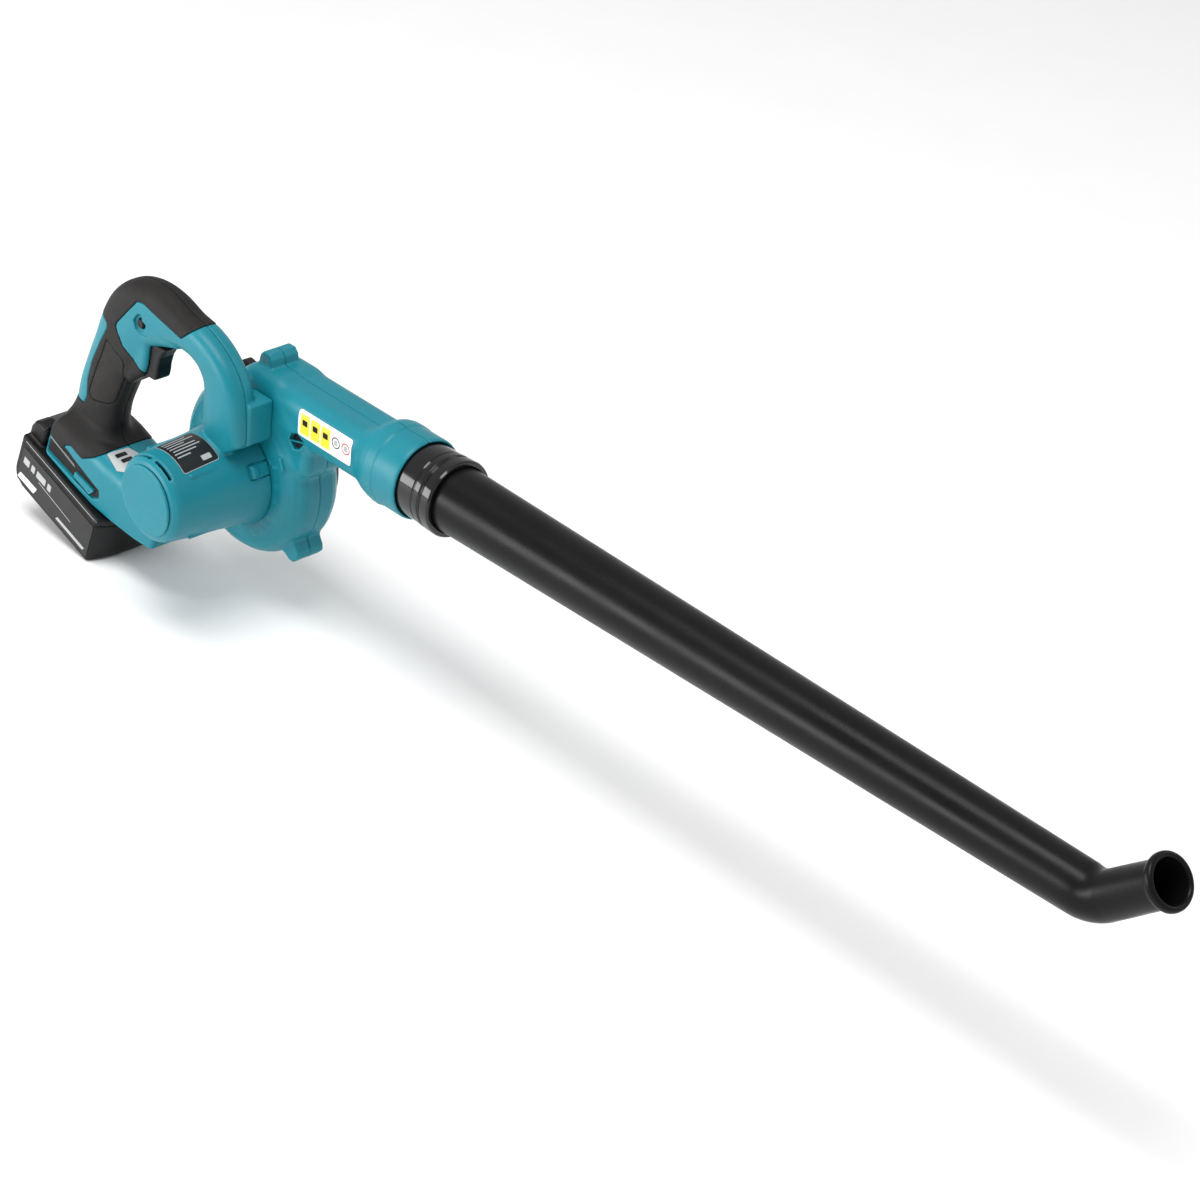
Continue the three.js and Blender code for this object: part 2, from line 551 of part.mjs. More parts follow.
// Height, back and front of the trigger's level sections.
const TRIGGER_SECTIONS = [[59.8, -81, -67], [61.5, -83.5, -64], [66, -90, -61.5], [73, -92, -59.6],
  [80, -92, -58.4], [87, -92, -55.8], [94, -92, -51.5]];
const triggerRing = ([z, back, front]) =>
  ring(v3((back + front) / 2, HANDLE_Y, z), v3(1, 0, 0), AXIS_Y, (front - back) / 2, TRIGGER_HALF, 5, 16);
add("trigger", join(
  loft(TRIGGER_SECTIONS.map(triggerRing)),
  rodX(2.4, SWITCH_FACE - 4, -91, HANDLE_Y, PLUNGER_Z, 14),
), SATIN);
const springStart = v3(SWITCH_FACE - 11.5, HANDLE_Y, PLUNGER_Z);
add("trigger_spring", coil(springStart, v3(1, 0, 0), 3.8, 0.5, 11, 4), STEEL);
add("lock_button", turnedY([
  [0, HANDLE_Y - 15], [3.7, HANDLE_Y - 15], [4.2, HANDLE_Y - 14.4], [4.2, HANDLE_Y - 5],
  [3.3, HANDLE_Y - 5], [3.3, HANDLE_Y - 12.2], [0, HANDLE_Y - 12.2]], LOCK.x, LOCK.z, 20), BLACK);
add("lock_spring", coil(v3(LOCK.x, HANDLE_Y - 9.2, LOCK.z), AXIS_Y, 2.3, 0.45, 8.5, 4), STEEL);

// ---- nozzle ------------------------------------------------------------------------------------------
add("nozzle_sleeve", turnedX([
  [28.9, SLEEVE_START], [SLEEVE_R, SLEEVE_START], [SLEEVE_R, 216], [SLEEVE_R - 0.8, 217],
  [SLEEVE_R + 0.6, 219], [SLEEVE_R + 0.6, 224], [SLEEVE_R - 0.8, 226], [SLEEVE_R + 1.1, 229],
  [SLEEVE_R + 1.1, 236], [SLEEVE_R, TUBE_START], [TUBE_R + 0.5, TUBE_START], [TUBE_R + 0.5, 225],
  [28.9, 225], [28.9, SLEEVE_START],
], 0, NOZZLE_Z, 36), BLACK);

// Stations of the tube: a point on its centre line, its direction and its radius.
function tubeStations() {
  const reach = BEND_SWEEP * Math.tan(BEND_ANGLE / 2);
  const list = [[TUBE_START - 10, TUBE_R + 0.1], [BEND_X - reach - 8, BEND_R]].map(([x, r]) =>
    ({ at: v3(x, 0, NOZZLE_Z), angle: 0, r }));
  for (let k = 0; k <= 5; k++) {
    const angle = (BEND_ANGLE * k) / 5;
    const x = BEND_X - reach + BEND_SWEEP * Math.sin(angle);
    const z = NOZZLE_Z + BEND_SWEEP * (1 - Math.cos(angle));
    list.push({
      at: v3(x, 0, z),
      angle,
      r: THREE.MathUtils.lerp(BEND_R - 0.2, TIP_R + 0.6, k / 5),
    });
  }
  const tip = (far, r) => ({
    at: v3(BEND_X + far * Math.cos(BEND_ANGLE), 0, NOZZLE_Z + far * Math.sin(BEND_ANGLE)),
    angle: BEND_ANGLE,
    r,
  });
  list.push(tip(TIP_LENGTH - 8, TIP_R), tip(TIP_LENGTH - 7.5, RIM_R - 0.6), tip(TIP_LENGTH - 6, RIM_R),
    tip(TIP_LENGTH - 1.5, RIM_R), tip(TIP_LENGTH, RIM_R - 1.2));
  return list;
}
function tubeBody(stations, count = 28) {
  return loft(stations.map(({ at, angle, r }) =>
    ring(at, AXIS_Y, v3(-Math.sin(angle), 0, Math.cos(angle)), r, r, 2, count)));
}
const along = (angle, d) => v3(Math.cos(angle) * d, 0, Math.sin(angle) * d);
const outside = tubeStations();
const boreStations = outside.slice(0, -5).map((s) => ({ ...s, r: s.r - TUBE_WALL }));
boreStations[0] = { ...boreStations[0], at: boreStations[0].at.clone().add(along(0, -2)) };
const tipEnd = outside[outside.length - 1];
boreStations.push({ at: tipEnd.at.clone().add(along(BEND_ANGLE, 2)), angle: BEND_ANGLE, r: TIP_R - 1.3 });
add("nozzle_tube", cut(tubeBody(outside), tubeBody(boreStations)), SATIN);

// ---- battery pack ------------------------------------------------------------------------------------
// Its plan outline has a gently bowed front; its side outline has a rounded lower back corner.
const FRONT_BOW = 9;
function packPlan(inset) {
  const shape = new THREE.Shape();
  const half = PACK_WIDTH / 2 - inset;
  const back = -PACK_LENGTH / 2 + inset;
  const front = PACK_LENGTH / 2 - inset;
  shape.moveTo(back + 3, -half);
  shape.lineTo(front - 1, -half);
  shape.quadraticCurveTo(front + 2 * FRONT_BOW, 0, front - 1, half);
  shape.lineTo(back + 3, half);
  shape.lineTo(back, half - 3);
  shape.lineTo(back, -half + 3);
  shape.closePath();
  const g = new THREE.ExtrudeGeometry(shape, { depth: 100, bevelEnabled: false, curveSegments: 10 });
  g.translate(0, 0, -60);
  return solid(g);
}
function packSide(inset, low, high) {
  const back = -PACK_LENGTH / 2 + inset;
  const front = PACK_LENGTH / 2 + FRONT_BOW - inset;
  return plate([[back + 14, low], [front - 12, low], [front - 3, low + 3], [front + 1, low + 9],
    [front + 1, high], [back, high], [back, low + 14], [back + 4, low + 4]], -60, 60);
}
const SEAM_Z = -7;
const tub = packPlan(0).intersect(packSide(0, -PACK_HEIGHT, SEAM_Z - GAP / 2));
const tubHollow = packPlan(2).intersect(packSide(2, -PACK_HEIGHT + 2, 10));
add("battery_case_lower", onPack(cut(tub, tubHollow)), PACK);
const RAIL_FRONT = 45.6;
const rail = join(
  box(-50, RAIL_FRONT, -24, 24, -3, 8),
  box(-50, RAIL_FRONT, -27, 27, 8, 12),
);
const raised = plate([[-56, -3], [-56, 9], [-53, 16], [-48, 19], [-38, 20], [-35.8, 17], [-35.8, -3]],
  -31, 31);
const lid = packPlan(0).intersect(box(-80, 80, -60, 60, SEAM_Z + GAP / 2, 0));
const lidHollow = packPlan(2).intersect(box(-80, 80, -60, 60, SEAM_Z - 1, -2));
const terminalBay = box(8, RAIL_FRONT + 1, -10, 10, 2, 13);
const buttonBay = box(-60, -44, -16.5, 16.5, 3, 30);
add("battery_case_upper", onPack(cut(join(cut(lid, lidHollow), rail, raised), terminalBay, buttonBay,
  box(-34, 6, -20, 20, -8, 9.5))), PACK);
const BUTTON_TRAVEL = 4;
add("battery_button", onPack(cut(
  plate([[-55.6, 7.5], [-55.6, 9.4], [-52.8, 16], [-48, 18.8], [-44.4, 19], [-44.4, 7.5]], -16, 16),
  box(-53, -47, -3, 3, 7, 13.5),
)), SATIN);
add("battery_spring", onPack(coil(v3(-50, 0, 3.3), AXIS_Z, 2.2, 0.45, 6, 3)), STEEL);
add("battery_board", onPack(box(-42, 42, -28, 28, -9.8, -8.2)), BOARD);
for (let row = 0; row < 2; row++)
  for (let k = 0; k < 5; k++) {
    const cell = rodY(9.1, -32.5, 32.5, -38.2 + 18.9 * k, -38.6 + 18.6 * row, 14);
    add(`cell_${row * 5 + k + 1}`, onPack(cell), CELL);
  }

// ---- contacts and leads ------------------------------------------------------------------------
add("terminal_block", onPack(join(
  box(24.4, 44, -7.8, 7.8, 4, 18),
  box(22.5, 46, -9.5, 9.5, 17.6, 20),
  box(12, 25, -6, -5, 5, 10),
  box(12, 25, 5, 6, 5, 10),
)), SATIN);
const packPoint = (x, y, z) => v3(x, y, z).applyMatrix4(packPlace);
for (const [name, side, look] of [["lead_positive", 1, RED], ["lead_negative", -1, BLACK]]) {
  const route = [
    packPoint(34, 4.5 * side, 21.8),
    packPoint(24, 4.5 * side, 28),
    v3(-140, HANDLE_Y + 4.5 * side, -14),
    v3(-131, HANDLE_Y + 4.5 * side, 14),
    v3(-122, HANDLE_Y + 5 * side, 42),
    v3(-114, HANDLE_Y + 5.5 * side, 70.5),
  ];
  add(name, roundBar(route, 1.1), look);
}

// ---- labels ------------------------------------------------------------------------------------
const LABEL = 0.4;
const between = (outer, inner, zone) => outer.subtract(inner).intersect(zone);
add("rating_label", between(
  turnedY(barrelProfile(-0.2 - LABEL), 0, 0, 36),
  turnedY(barrelProfile(-0.2), 0, 0, 36),
  plate([[-14, 20], [24.5, 20], [24.5, 60], [-14, 60]], -100, -65),
), BLACK);
add("duct_label", between(
  ductBody(-0.2 - LABEL, 10, COLLAR_START),
  ductBody(-0.2, 10, COLLAR_START),
  box(74, 141, -40, 0, 66, 90),
), PAPER);
const packSideY = -PACK_WIDTH / 2;
add("battery_label", onPack(box(-46, 50, packSideY - 0.7, packSideY - 0.25, -44, -12)), BLACK);
add("foot_label", between(
  footBody(-0.2 - LABEL),
  footBody(-0.2),
  onPack(box(31.5, 56, -24, -2, 20, 80)),
), PAPER);

group.position.set(0, -CAP_Y, 0);
export default group;
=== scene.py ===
import json
import math
import bmesh
import bpy
import numpy as np
from mathutils import Matrix, Vector


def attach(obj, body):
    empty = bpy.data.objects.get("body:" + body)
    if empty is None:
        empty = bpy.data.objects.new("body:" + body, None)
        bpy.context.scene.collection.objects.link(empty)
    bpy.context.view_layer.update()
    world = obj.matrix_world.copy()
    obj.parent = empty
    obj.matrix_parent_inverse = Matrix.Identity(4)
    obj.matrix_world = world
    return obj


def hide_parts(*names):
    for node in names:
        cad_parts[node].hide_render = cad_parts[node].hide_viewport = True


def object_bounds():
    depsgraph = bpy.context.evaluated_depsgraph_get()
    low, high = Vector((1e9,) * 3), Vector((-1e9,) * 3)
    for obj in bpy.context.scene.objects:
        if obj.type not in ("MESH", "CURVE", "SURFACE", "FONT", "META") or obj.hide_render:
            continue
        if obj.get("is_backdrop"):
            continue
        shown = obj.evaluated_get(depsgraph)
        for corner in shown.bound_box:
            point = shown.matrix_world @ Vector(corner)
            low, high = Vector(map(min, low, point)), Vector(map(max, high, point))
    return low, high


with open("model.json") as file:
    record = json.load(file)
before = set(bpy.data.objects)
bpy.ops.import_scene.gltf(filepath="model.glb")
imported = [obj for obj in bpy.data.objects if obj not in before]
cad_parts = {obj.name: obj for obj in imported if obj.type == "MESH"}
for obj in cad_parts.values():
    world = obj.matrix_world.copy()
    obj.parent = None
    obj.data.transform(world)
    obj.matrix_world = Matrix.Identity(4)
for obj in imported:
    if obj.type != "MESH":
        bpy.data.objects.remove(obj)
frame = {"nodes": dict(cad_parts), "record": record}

CAD_LOW, CAD_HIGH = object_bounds()

# Lengths below are millimetres about the motor axis: x the way the air leaves, y the tool's left,
# z up, with the fan casing's seam at y = 0. The frame's origin is on the motor cover, at y = -121.
FRAME_SHIFT = np.array([0.0, 121.0, 0.0])
VOXEL = 1.0
HANDLE_Y = -52.0
NOZZLE_Z = 74.0
SCROLL_HALF = 27.0
COLLAR_R = 34.5
TILT = math.radians(18)
FOOT_ORIGIN = (-156.3, HANDLE_Y, -60.7)
SEAM = 0.15         # from a half shell's edge to its seam
SEAM_EDGE = 0.7     # rounding of that edge


# ---- distance fields: negative inside ------------------------------------------------------------
def union(a, b, r=0.0):
    """Joined, with a fillet of radius r between them."""
    if r <= 0:
        return np.minimum(a, b)
    u = np.maximum(r - a, 0)
    v = np.maximum(r - b, 0)
    return np.maximum(r, np.minimum(a, b)) - np.sqrt(u * u + v * v)


def common(a, b, r=0.0):
    """What both hold, with its edge rounded to radius r."""
    if r <= 0:
        return np.maximum(a, b)
    u = np.maximum(r + a, 0)
    v = np.maximum(r + b, 0)
    return np.minimum(-r, np.maximum(a, b)) + np.sqrt(u * u + v * v)


def minus(a, b, r=0.0):
    return common(a, -b, r)


def slab(w, low, high):
    return np.maximum(low - w, w - high)


def polygon(u, v, points):
    """Signed distance to a closed outline."""
    ends = np.roll(np.asarray(points, float), -1, axis=0)
    nearest = np.full(u.shape, 1e12)
    inside = np.zeros(u.shape, bool)
    for (ax, ay), (bx, by) in zip(points, ends):
        ex, ey = bx - ax, by - ay
        along = np.clip(((u - ax) * ex + (v - ay) * ey) / (ex * ex + ey * ey), 0, 1)
        nearest = np.minimum(nearest, (u - ax - ex * along) ** 2 + (v - ay - ey * along) ** 2)
        if ay != by:
            inside ^= ((ay > v) != (by > v)) & (u < ex * (v - ay) / ey + ax)
    return np.where(inside, -1, 1) * np.sqrt(nearest)


def rounded(points, radius, steps=5):
    """An outline with its corners turned into arcs, radius for all or one each."""
    p = np.asarray(points, float)
    radii = radius if np.ndim(radius) else [radius] * len(p)
    out = []
    for i, corner in enumerate(p):
        back, ahead = p[i - 1] - corner, p[(i + 1) % len(p)] - corner
        lb, la = np.hypot(*back), np.hypot(*ahead)
        angle = math.acos(np.clip(back @ ahead / (lb * la), -1, 1))
        cut = min(radii[i] / max(math.tan(angle / 2), 1e-6), 0.49 * lb, 0.49 * la)
        if cut < 1e-3:
            out.append(tuple(corner))
            continue
        a, b = corner + back / lb * cut, corner + ahead / la * cut
        for k in range(steps + 1):
            t = k / steps
            out.append(tuple(a * (1 - t) ** 2 + corner * 2 * t * (1 - t) + b * t * t))
    return out


def box(x, y, z, low, high, r=0.0):
    """A box with all its edges rounded."""
    q = [np.abs(c - (l + h) / 2) - (h - l) / 2 + r for c, l, h in zip((x, y, z), low, high)]
    out = np.sqrt(sum(np.maximum(c, 0) ** 2 for c in q))
    return out + np.minimum(np.maximum(np.maximum(q[0], q[1]), q[2]), 0) - r


def polygonise(field, low, high, step):
    """The surface of a field as points and quads, by surface nets on the blocks that it crosses."""
    low = np.asarray(low, float)
    blocks = np.ceil((np.asarray(high, float) - low) / (4 * step)).astype(int)
    centres = np.stack(np.meshgrid(*[(np.arange(n) + 0.5) * 4 * step for n in blocks],
                                   indexing="ij"), -1).reshape(-1, 3) + low
    rough = evaluate(field, centres).reshape(blocks)
    near = np.abs(rough) < 4 * step * 1.35 + 1.5
    active = near.repeat(4, 0).repeat(4, 1).repeat(4, 2)
    active = np.pad(active, ((0, 1),) * 3)
    for axis in range(3):
        active |= np.roll(active, 1, axis)
    values = np.pad(np.where(rough < 0, -9.0, 9.0).repeat(4, 0).repeat(4, 1).repeat(4, 2),
                    ((0, 1),) * 3, mode="edge")
    where = np.argwhere(active)
    values[active] = evaluate(field, where * step + low)
    inside = values < 0
    count = sum(inside[i:inside.shape[0] - 1 + i, j:inside.shape[1] - 1 + j,
                       k:inside.shape[2] - 1 + k].astype(np.uint8)
                for i in (0, 1) for j in (0, 1) for k in (0, 1))
    cells = np.argwhere((count > 0) & (count < 8))
    total = np.zeros((len(cells), 3))
    hits = np.zeros(len(cells))
    corners = [np.array(c) for c in np.ndindex(2, 2, 2)]
    for a in corners:
        for axis in range(3):
            if a[axis]:
                continue
            b = a.copy()
            b[axis] = 1
            va = values[tuple((cells + a).T)]
            vb = values[tuple((cells + b).T)]
            cross = (va < 0) != (vb < 0)
            t = np.where(cross, va / np.where(cross, va - vb, 1), 0)
            total += cross[:, None] * (a + t[:, None] * (b - a))
            hits += cross
    points = (cells + total / hits[:, None]) * step + low
    number = np.full(count.shape, -1)
    number[tuple(cells.T)] = np.arange(len(cells))
    quads = []
    for axis in range(3):
        one, two = (axis + 1) % 3, (axis + 2) % 3
        first = np.take(inside, range(inside.shape[axis] - 1), axis)
        second = np.take(inside, range(1, inside.shape[axis]), axis)
        for leaving in (True, False):
            edge = np.argwhere((first & ~second) if leaving else (~first & second))
            edge = edge[(edge[:, one] > 0) & (edge[:, two] > 0)]
            edge = edge[(edge[:, one] < count.shape[one]) & (edge[:, two] < count.shape[two])]
            ring = []
            for s, t in ((1, 1), (0, 1), (0, 0), (1, 0)):
                cell = edge.copy()
                cell[:, one] -= s
                cell[:, two] -= t
                ring.append(number[tuple(cell.T)])
            quad = np.stack(ring, 1)
            quads.append(quad if leaving else quad[:, ::-1])
    quads = np.concatenate(quads)
    quads = quads[(quads >= 0).all(1)]
    for _ in range(2):
        points -= settle(field, points, step)
    return points, quads


def evaluate(field, points, chunk=400_000):
    return np.concatenate([field(*points[i:i + chunk].T) for i in range(0, len(points), chunk)])


def settle(field, points, step):
    """The move that takes points onto the surface, at most half a step."""
    value = evaluate(field, points)
    slope = np.stack([evaluate(field, points + d) - evaluate(field, points - d)
                      for d in np.eye(3) * 0.05 * step], 1) / (0.1 * step)
    size = np.maximum((slope ** 2).sum(1), 0.2)
    move = slope * (value / size)[:, None]
    length = np.sqrt((move ** 2).sum(1))
    return move * np.minimum(1, 0.45 * step / np.maximum(length, 1e-9))[:, None]


def build(name, points, faces, body, material, replaces=(), angle=None):
    """A piece from points in millimetres."""
    mesh = bpy.data.meshes.new(name)
    mesh.from_pydata(((np.asarray(points) + FRAME_SHIFT) / 1000).tolist(), [], [list(f) for f in faces])
    mesh.validate()
    mesh.shade_smooth()
    if angle:
        mesh.set_sharp_from_angle(angle=math.radians(angle))
    mesh.materials.append(material)
    obj = bpy.data.objects.new(name, mesh)
    bpy.context.scene.collection.objects.link(obj)
    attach(obj, body)
    if replaces:
        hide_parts(*replaces)
    return obj


def carve(name, field, low, high, body, material, replaces=(), step=None):
    points, quads = polygonise(field, low, high, step or VOXEL)
    return build(name, points, quads, body, material, replaces)


# ---- the bar of the handle -----------------------------------------------------------------------
# Centre line x, z, half depth and half width, from the pack foot over the top to the barrel.
STATIONS = np.array([
    (-154, -34, 36, 25), (-151.4, -19.8, 30.5, 20), (-147.2, -3.6, 26.6, 17), (-142.4, 18.5, 25.8, 16.5),
    (-132.4, 43.6, 26.4, 16.5), (-122.9, 64.7, 27.2, 16.5), (-114, 85.2, 28.1, 16.5),
    (-103.4, 102, 28.8, 16.5), (-89, 114, 28.3, 16.5), (-71, 119.7, 26.7, 16.5), (-52.5, 121.6, 22.6, 16),
    (-33, 120.4, 16.4, 15.5),
    (-14.6, 117.8, 15.2, 15.5), (-0.1, 111.3, 15.9, 15.5), (10.6, 101, 18.4, 15.5), (16.6, 88.9, 21.5, 15.5),
    (18.8, 74, 23.1, 15.5), (18.3, 56, 24.4, 14), (17.5, 34, 25.2, 9)], float)


def smooth_path(stations, steps=10):
    """A centripetal Catmull-Rom curve through the rows of stations."""
    first = 2 * stations[0] - stations[1]
    last = 2 * stations[-1] - stations[-2]
    p = np.vstack([first, stations, last])
    out = []
    for i in range(1, len(p) - 2):
        gap = [max(np.hypot(*(p[k + 1] - p[k])[:2]), 1e-6) ** 0.5 for k in (i - 1, i, i + 1)]
        d = [(p[k + 1] - p[k]) for k in (i - 1, i, i + 1)]
        m0 = (d[0] / gap[0] - (d[0] + d[1]) / (gap[0] + gap[1]) + d[1] / gap[1]) * gap[1]
        m1 = (d[1] / gap[1] - (d[1] + d[2]) / (gap[1] + gap[2]) + d[2] / gap[2]) * gap[1]
        for k in range(steps):
            t = k / steps
            out.append(p[i] * (2 * t**3 - 3 * t**2 + 1) + m0 * (t**3 - 2 * t**2 + t)
                       + p[i + 1] * (3 * t**2 - 2 * t**3) + m1 * (t**3 - t**2))
    out.append(p[-2])
    return np.array(out)


PATH = smooth_path(STATIONS)


def table_of_bar(step=1.0):
    """For points of the handle's middle plane: signed distance from the centre line, half sizes, and
    how far past an end of it they lie."""
    xs = np.arange(-215, 75, step)
    zs = np.arange(-75, 165, step)
    x, z = np.meshgrid(xs, zs, indexing="ij")
    best = np.full(x.shape, 1e12)
    out = np.zeros(x.shape + (4,))
    for i, (a, b) in enumerate(zip(PATH[:-1], PATH[1:])):
        ex, ez = b[0] - a[0], b[1] - a[1]
        size = ex * ex + ez * ez
        raw = ((x - a[0]) * ex + (z - a[1]) * ez) / size
        t = np.clip(raw, 0, 1)
        dx, dz = x - a[0] - ex * t, z - a[1] - ez * t
        far = dx * dx + dz * dz
        closer = far < best
        best = np.where(closer, far, best)
        across = (ex * (z - a[1]) - ez * (x - a[0])) / math.sqrt(size)
        past = np.zeros(x.shape)
        if i == 0:
            past = np.maximum(-raw, 0) * math.sqrt(size)
        if i == len(PATH) - 2:
            past = np.maximum(raw - 1, 0) * math.sqrt(size)
        row = np.stack([across, a[2] + (b[2] - a[2]) * t, a[3] + (b[3] - a[3]) * t, past], -1)
        out[closer] = row[closer]
    return xs, zs, out


BAR_X, BAR_Z, BAR_TABLE = table_of_bar()


def bar(x, y, z):
    u = np.clip(x - BAR_X[0], 0, len(BAR_X) - 1.001)
    w = np.clip(z - BAR_Z[0], 0, len(BAR_Z) - 1.001)
    i, k = u.astype(int), w.astype(int)
    u, w = (u - i)[:, None], (w - k)[:, None]
    here = (BAR_TABLE[i, k] * (1 - u) * (1 - w) + BAR_TABLE[i + 1, k] * u * (1 - w)
            + BAR_TABLE[i, k + 1] * (1 - u) * w + BAR_TABLE[i + 1, k + 1] * u * w)
    across, deep, wide, past = here.T
    a, b = np.abs(across) + 0.05, np.abs(y - HANDLE_Y) + 0.05
    power = 2.7     # a section between an ellipse and a rectangle
    f = ((a / deep) ** power + (b / wide) ** power) ** (1 / power)
    reach = np.hypot(a, b)
    out = reach * (1 - 1 / f)
    return np.where(past > 0, np.maximum(out, past), out)


def pack_axes(x, y, z):
    """Coordinates along, across and out of the pack's top."""
    dx, dz = x - FOOT_ORIGIN[0], z - FOOT_ORIGIN[2]
    return (dx * math.cos(TILT) - dz * math.sin(TILT), y - HANDLE_Y,
            dx * math.sin(TILT) + dz * math.cos(TILT))


# The foot's sections: place along the pack, half width, underside, top, corner radius.
FOOT = np.array([(-34, 31.5, 0.4, 38, 11), (-26, 33.5, 0.4, 45.5, 13), (10, 33.5, 0.4, 50.5, 15),
                 (38, 32.5, 0.4, 52.5, 17), (62, 30, 2, 54.5, 18), (90, 27, 6, 56.5, 20),
                 (112, 25, 12, 58.5, 20)])


def foot(x, y, z):
    px, py, pz = pack_axes(x, y, z)
    wide, low, high, corner = (np.interp(px, FOOT[:, 0], FOOT[:, k]) for k in (1, 2, 3, 4))
    middle, tall = (low + high) / 2, (high - low) / 2
    up = pz - middle
    r = np.where(up > 0, corner, 2.5)
    a = np.abs(py) - wide + r
    b = np.abs(up) - tall + r
    out = np.sqrt(np.maximum(a, 0) ** 2 + np.maximum(b, 0) ** 2) + np.minimum(np.maximum(a, b), 0) - r
    return common(common(out, -34 - px, 7), px - 112, 4)


TRIGGER_CORNER = [(-116, 60), (-98, 46), (-88, 55), (-79, 62), (-75, 72), (-72.5, 92), (-58, 97.5),
                  (-38, 103.5), (-60, 116), (-100, 104)]


def arm_end(x, z):
    """The sloping underside of the arm, which rises away from the barrel."""
    return (48.5 + (x - 43) * 0.69 - z) * 0.823


def handle_body(x, y, z):
    corner = common(polygon(x, z, TRIGGER_CORNER), np.abs(y - HANDLE_Y) - 13, 6)
    out = union(union(common(bar(x, y, z), arm_end(x, z), 3), corner, 4), foot(x, y, z), 9)
    px, _, pz = pack_axes(x, y, z)
    return np.maximum(out, np.minimum(-34 - px, 27 - pz))


# The barrel's outside and inside, as (radius, y).
BARREL = [(0, -118.2), (30.6, -118.2), (33.6, -116.9), (36.2, -114), (37.6, -110.5), (39.5, -90),
          (41.5, -62), (43.5, -44), (46.5, -27.5), (0, -27.5)]


def barrel(x, y, z):
    return polygon(np.hypot(x, z), y, BARREL)


BARREL_HOLLOW = [(0, -111.5), (33.5, -111.5), (36, -90), (38, -62), (40, -44), (41, -20), (0, -20)]


def barrel_hollow(x, y, z):
    return polygon(np.hypot(x, z), y, BARREL_HOLLOW)


# ---- the fan casing ------------------------------------------------------------------------------
def scroll_disc(x, y, z, inset=0.0):
    r = np.hypot(x, z)
    half = SCROLL_HALF
    section = [(0, -half), (58, -half), (64, -25.6), (69, -22.4), (73, -17.5), (75, -13), (75, 13),
               (73, 17.5), (69, 22.4), (64, 25.6), (58, half), (0, half)]
    return polygon(r, y, section) + inset


def rounded_bar(u, v, half_u, half_v, corner):
    a = np.abs(u) - half_u + corner
    b = np.abs(v) - half_v + corner
    return np.sqrt(np.maximum(a, 0) ** 2 + np.maximum(b, 0) ** 2) + np.minimum(np.maximum(a, b), 0) - corner


def duct(x, y, z):
    """The outlet duct, flat sided, turning round where it meets its collar."""
    blend = np.clip((x - 140) / 22, 0, 1)
    blend = blend * blend * (3 - 2 * blend)
    wide = 26.6 + (COLLAR_R - 26.6) * blend
    tall = 22.6 + (COLLAR_R - 22.6) * blend
    corner = 15 + (COLLAR_R - 15.2) * blend
    out = rounded_bar(y, z - NOZZLE_Z, wide, tall, corner)
    return np.maximum(common(out, -4 - x, 16), x - 172)


def throat(x, y, z):
    outline = [(-30, 62), (-14, 83), (2, 92), (18, 95.5), (40, 95.5), (84, 56), (80, 20), (40, 30), (0, 40)]
    return common(polygon(x, z, rounded(outline, 12)), np.abs(y) - 23, 9)


COLLAR = [(0, 160), (30, 160), (34.5, 163), (34.5, 197), (33.9, 199.2), (33.2, 200), (0, 200)]


def casing_body(x, y, z):
    out = union(union(scroll_disc(x, y, z), duct(x, y, z), 16), throat(x, y, z), 8)
    collar = polygon(np.hypot(y, z - NOZZLE_Z), x, COLLAR)
    return union(out, collar, 2)


def lug(x, y, z, at, angle, width, height, half):
    """A screw boss on the seam, standing out along its angle."""
    c, s = math.cos(angle), math.sin(angle)
    out_w = (x - at[0]) * c + (z - at[1]) * s
    across = -(x - at[0]) * s + (z - at[1]) * c
    outline = [(-12, -width / 2 - 3), (0, -width / 2 - 1), (height - 4, -width / 2 + 1.5),
               (height, -width / 2 + 5), (height, width / 2 - 5), (height - 4, width / 2 - 1.5),
               (0, width / 2 + 1), (-12, width / 2 + 3)]
    return common(polygon(out_w, across, rounded(outline, 2.2)), np.abs(y) - half, 1.6)


def on_rim(angle, r):
    return r * math.cos(angle), r * math.sin(angle)


LUGS = [
    dict(at=(16, NOZZLE_Z + 21.5), angle=math.radians(90), width=18, height=14, half=14),
    dict(at=on_rim(math.radians(-44), 74), angle=math.radians(-44), width=18, height=14, half=14),
    dict(at=on_rim(math.radians(-122), 74), angle=math.radians(-122), width=18, height=12, half=12),
    dict(at=(155, NOZZLE_Z - 21.5), angle=math.radians(-90), width=20, height=16, half=12),
]


def lug_screw(lug):
    reach = lug["height"] - 8
    return lug["at"][0] + reach * math.cos(lug["angle"]), lug["at"][1] + reach * math.sin(lug["angle"])


SCREWS = [lug_screw(l) for l in LUGS]


def casing(x, y, z):
    out = casing_body(x, y, z)
    for l in LUGS:
        out = union(out, lug(x, y, z, **l), 2.5)
    wall, bore, mouth, motor_hole, intake = 3.0, 31.55, 32.2, 33, 38
    hollow = union(scroll_disc(x, y, z, wall), common(duct(x, y, z) + wall, 8 - x, 4), 4)
    out = np.maximum(out, -hollow)
    from_duct, from_motor = np.hypot(y, z - NOZZLE_Z), np.hypot(x, z)
    out = minus(out, np.maximum(from_duct - bore, 164 - x))
    out = minus(out, np.maximum(from_duct - mouth, 195 - x), 0.3)
    out = minus(out, np.maximum(from_motor - motor_hole, slab(y, -30, -10)))
    out = minus(out, np.maximum(from_motor - intake, slab(y, 10, 40)), 0.8)
    shank, head = 2.4, 4.3
    for (sx, sz), l in zip(SCREWS, LUGS):
        r = np.hypot(x - sx, z - sz)
        out = np.maximum(out, -np.maximum(r - shank, 2.5 - l["half"] - y))
        out = minus(out, np.maximum(r - head, l["half"] - 4 - y), 0.5)
    return out


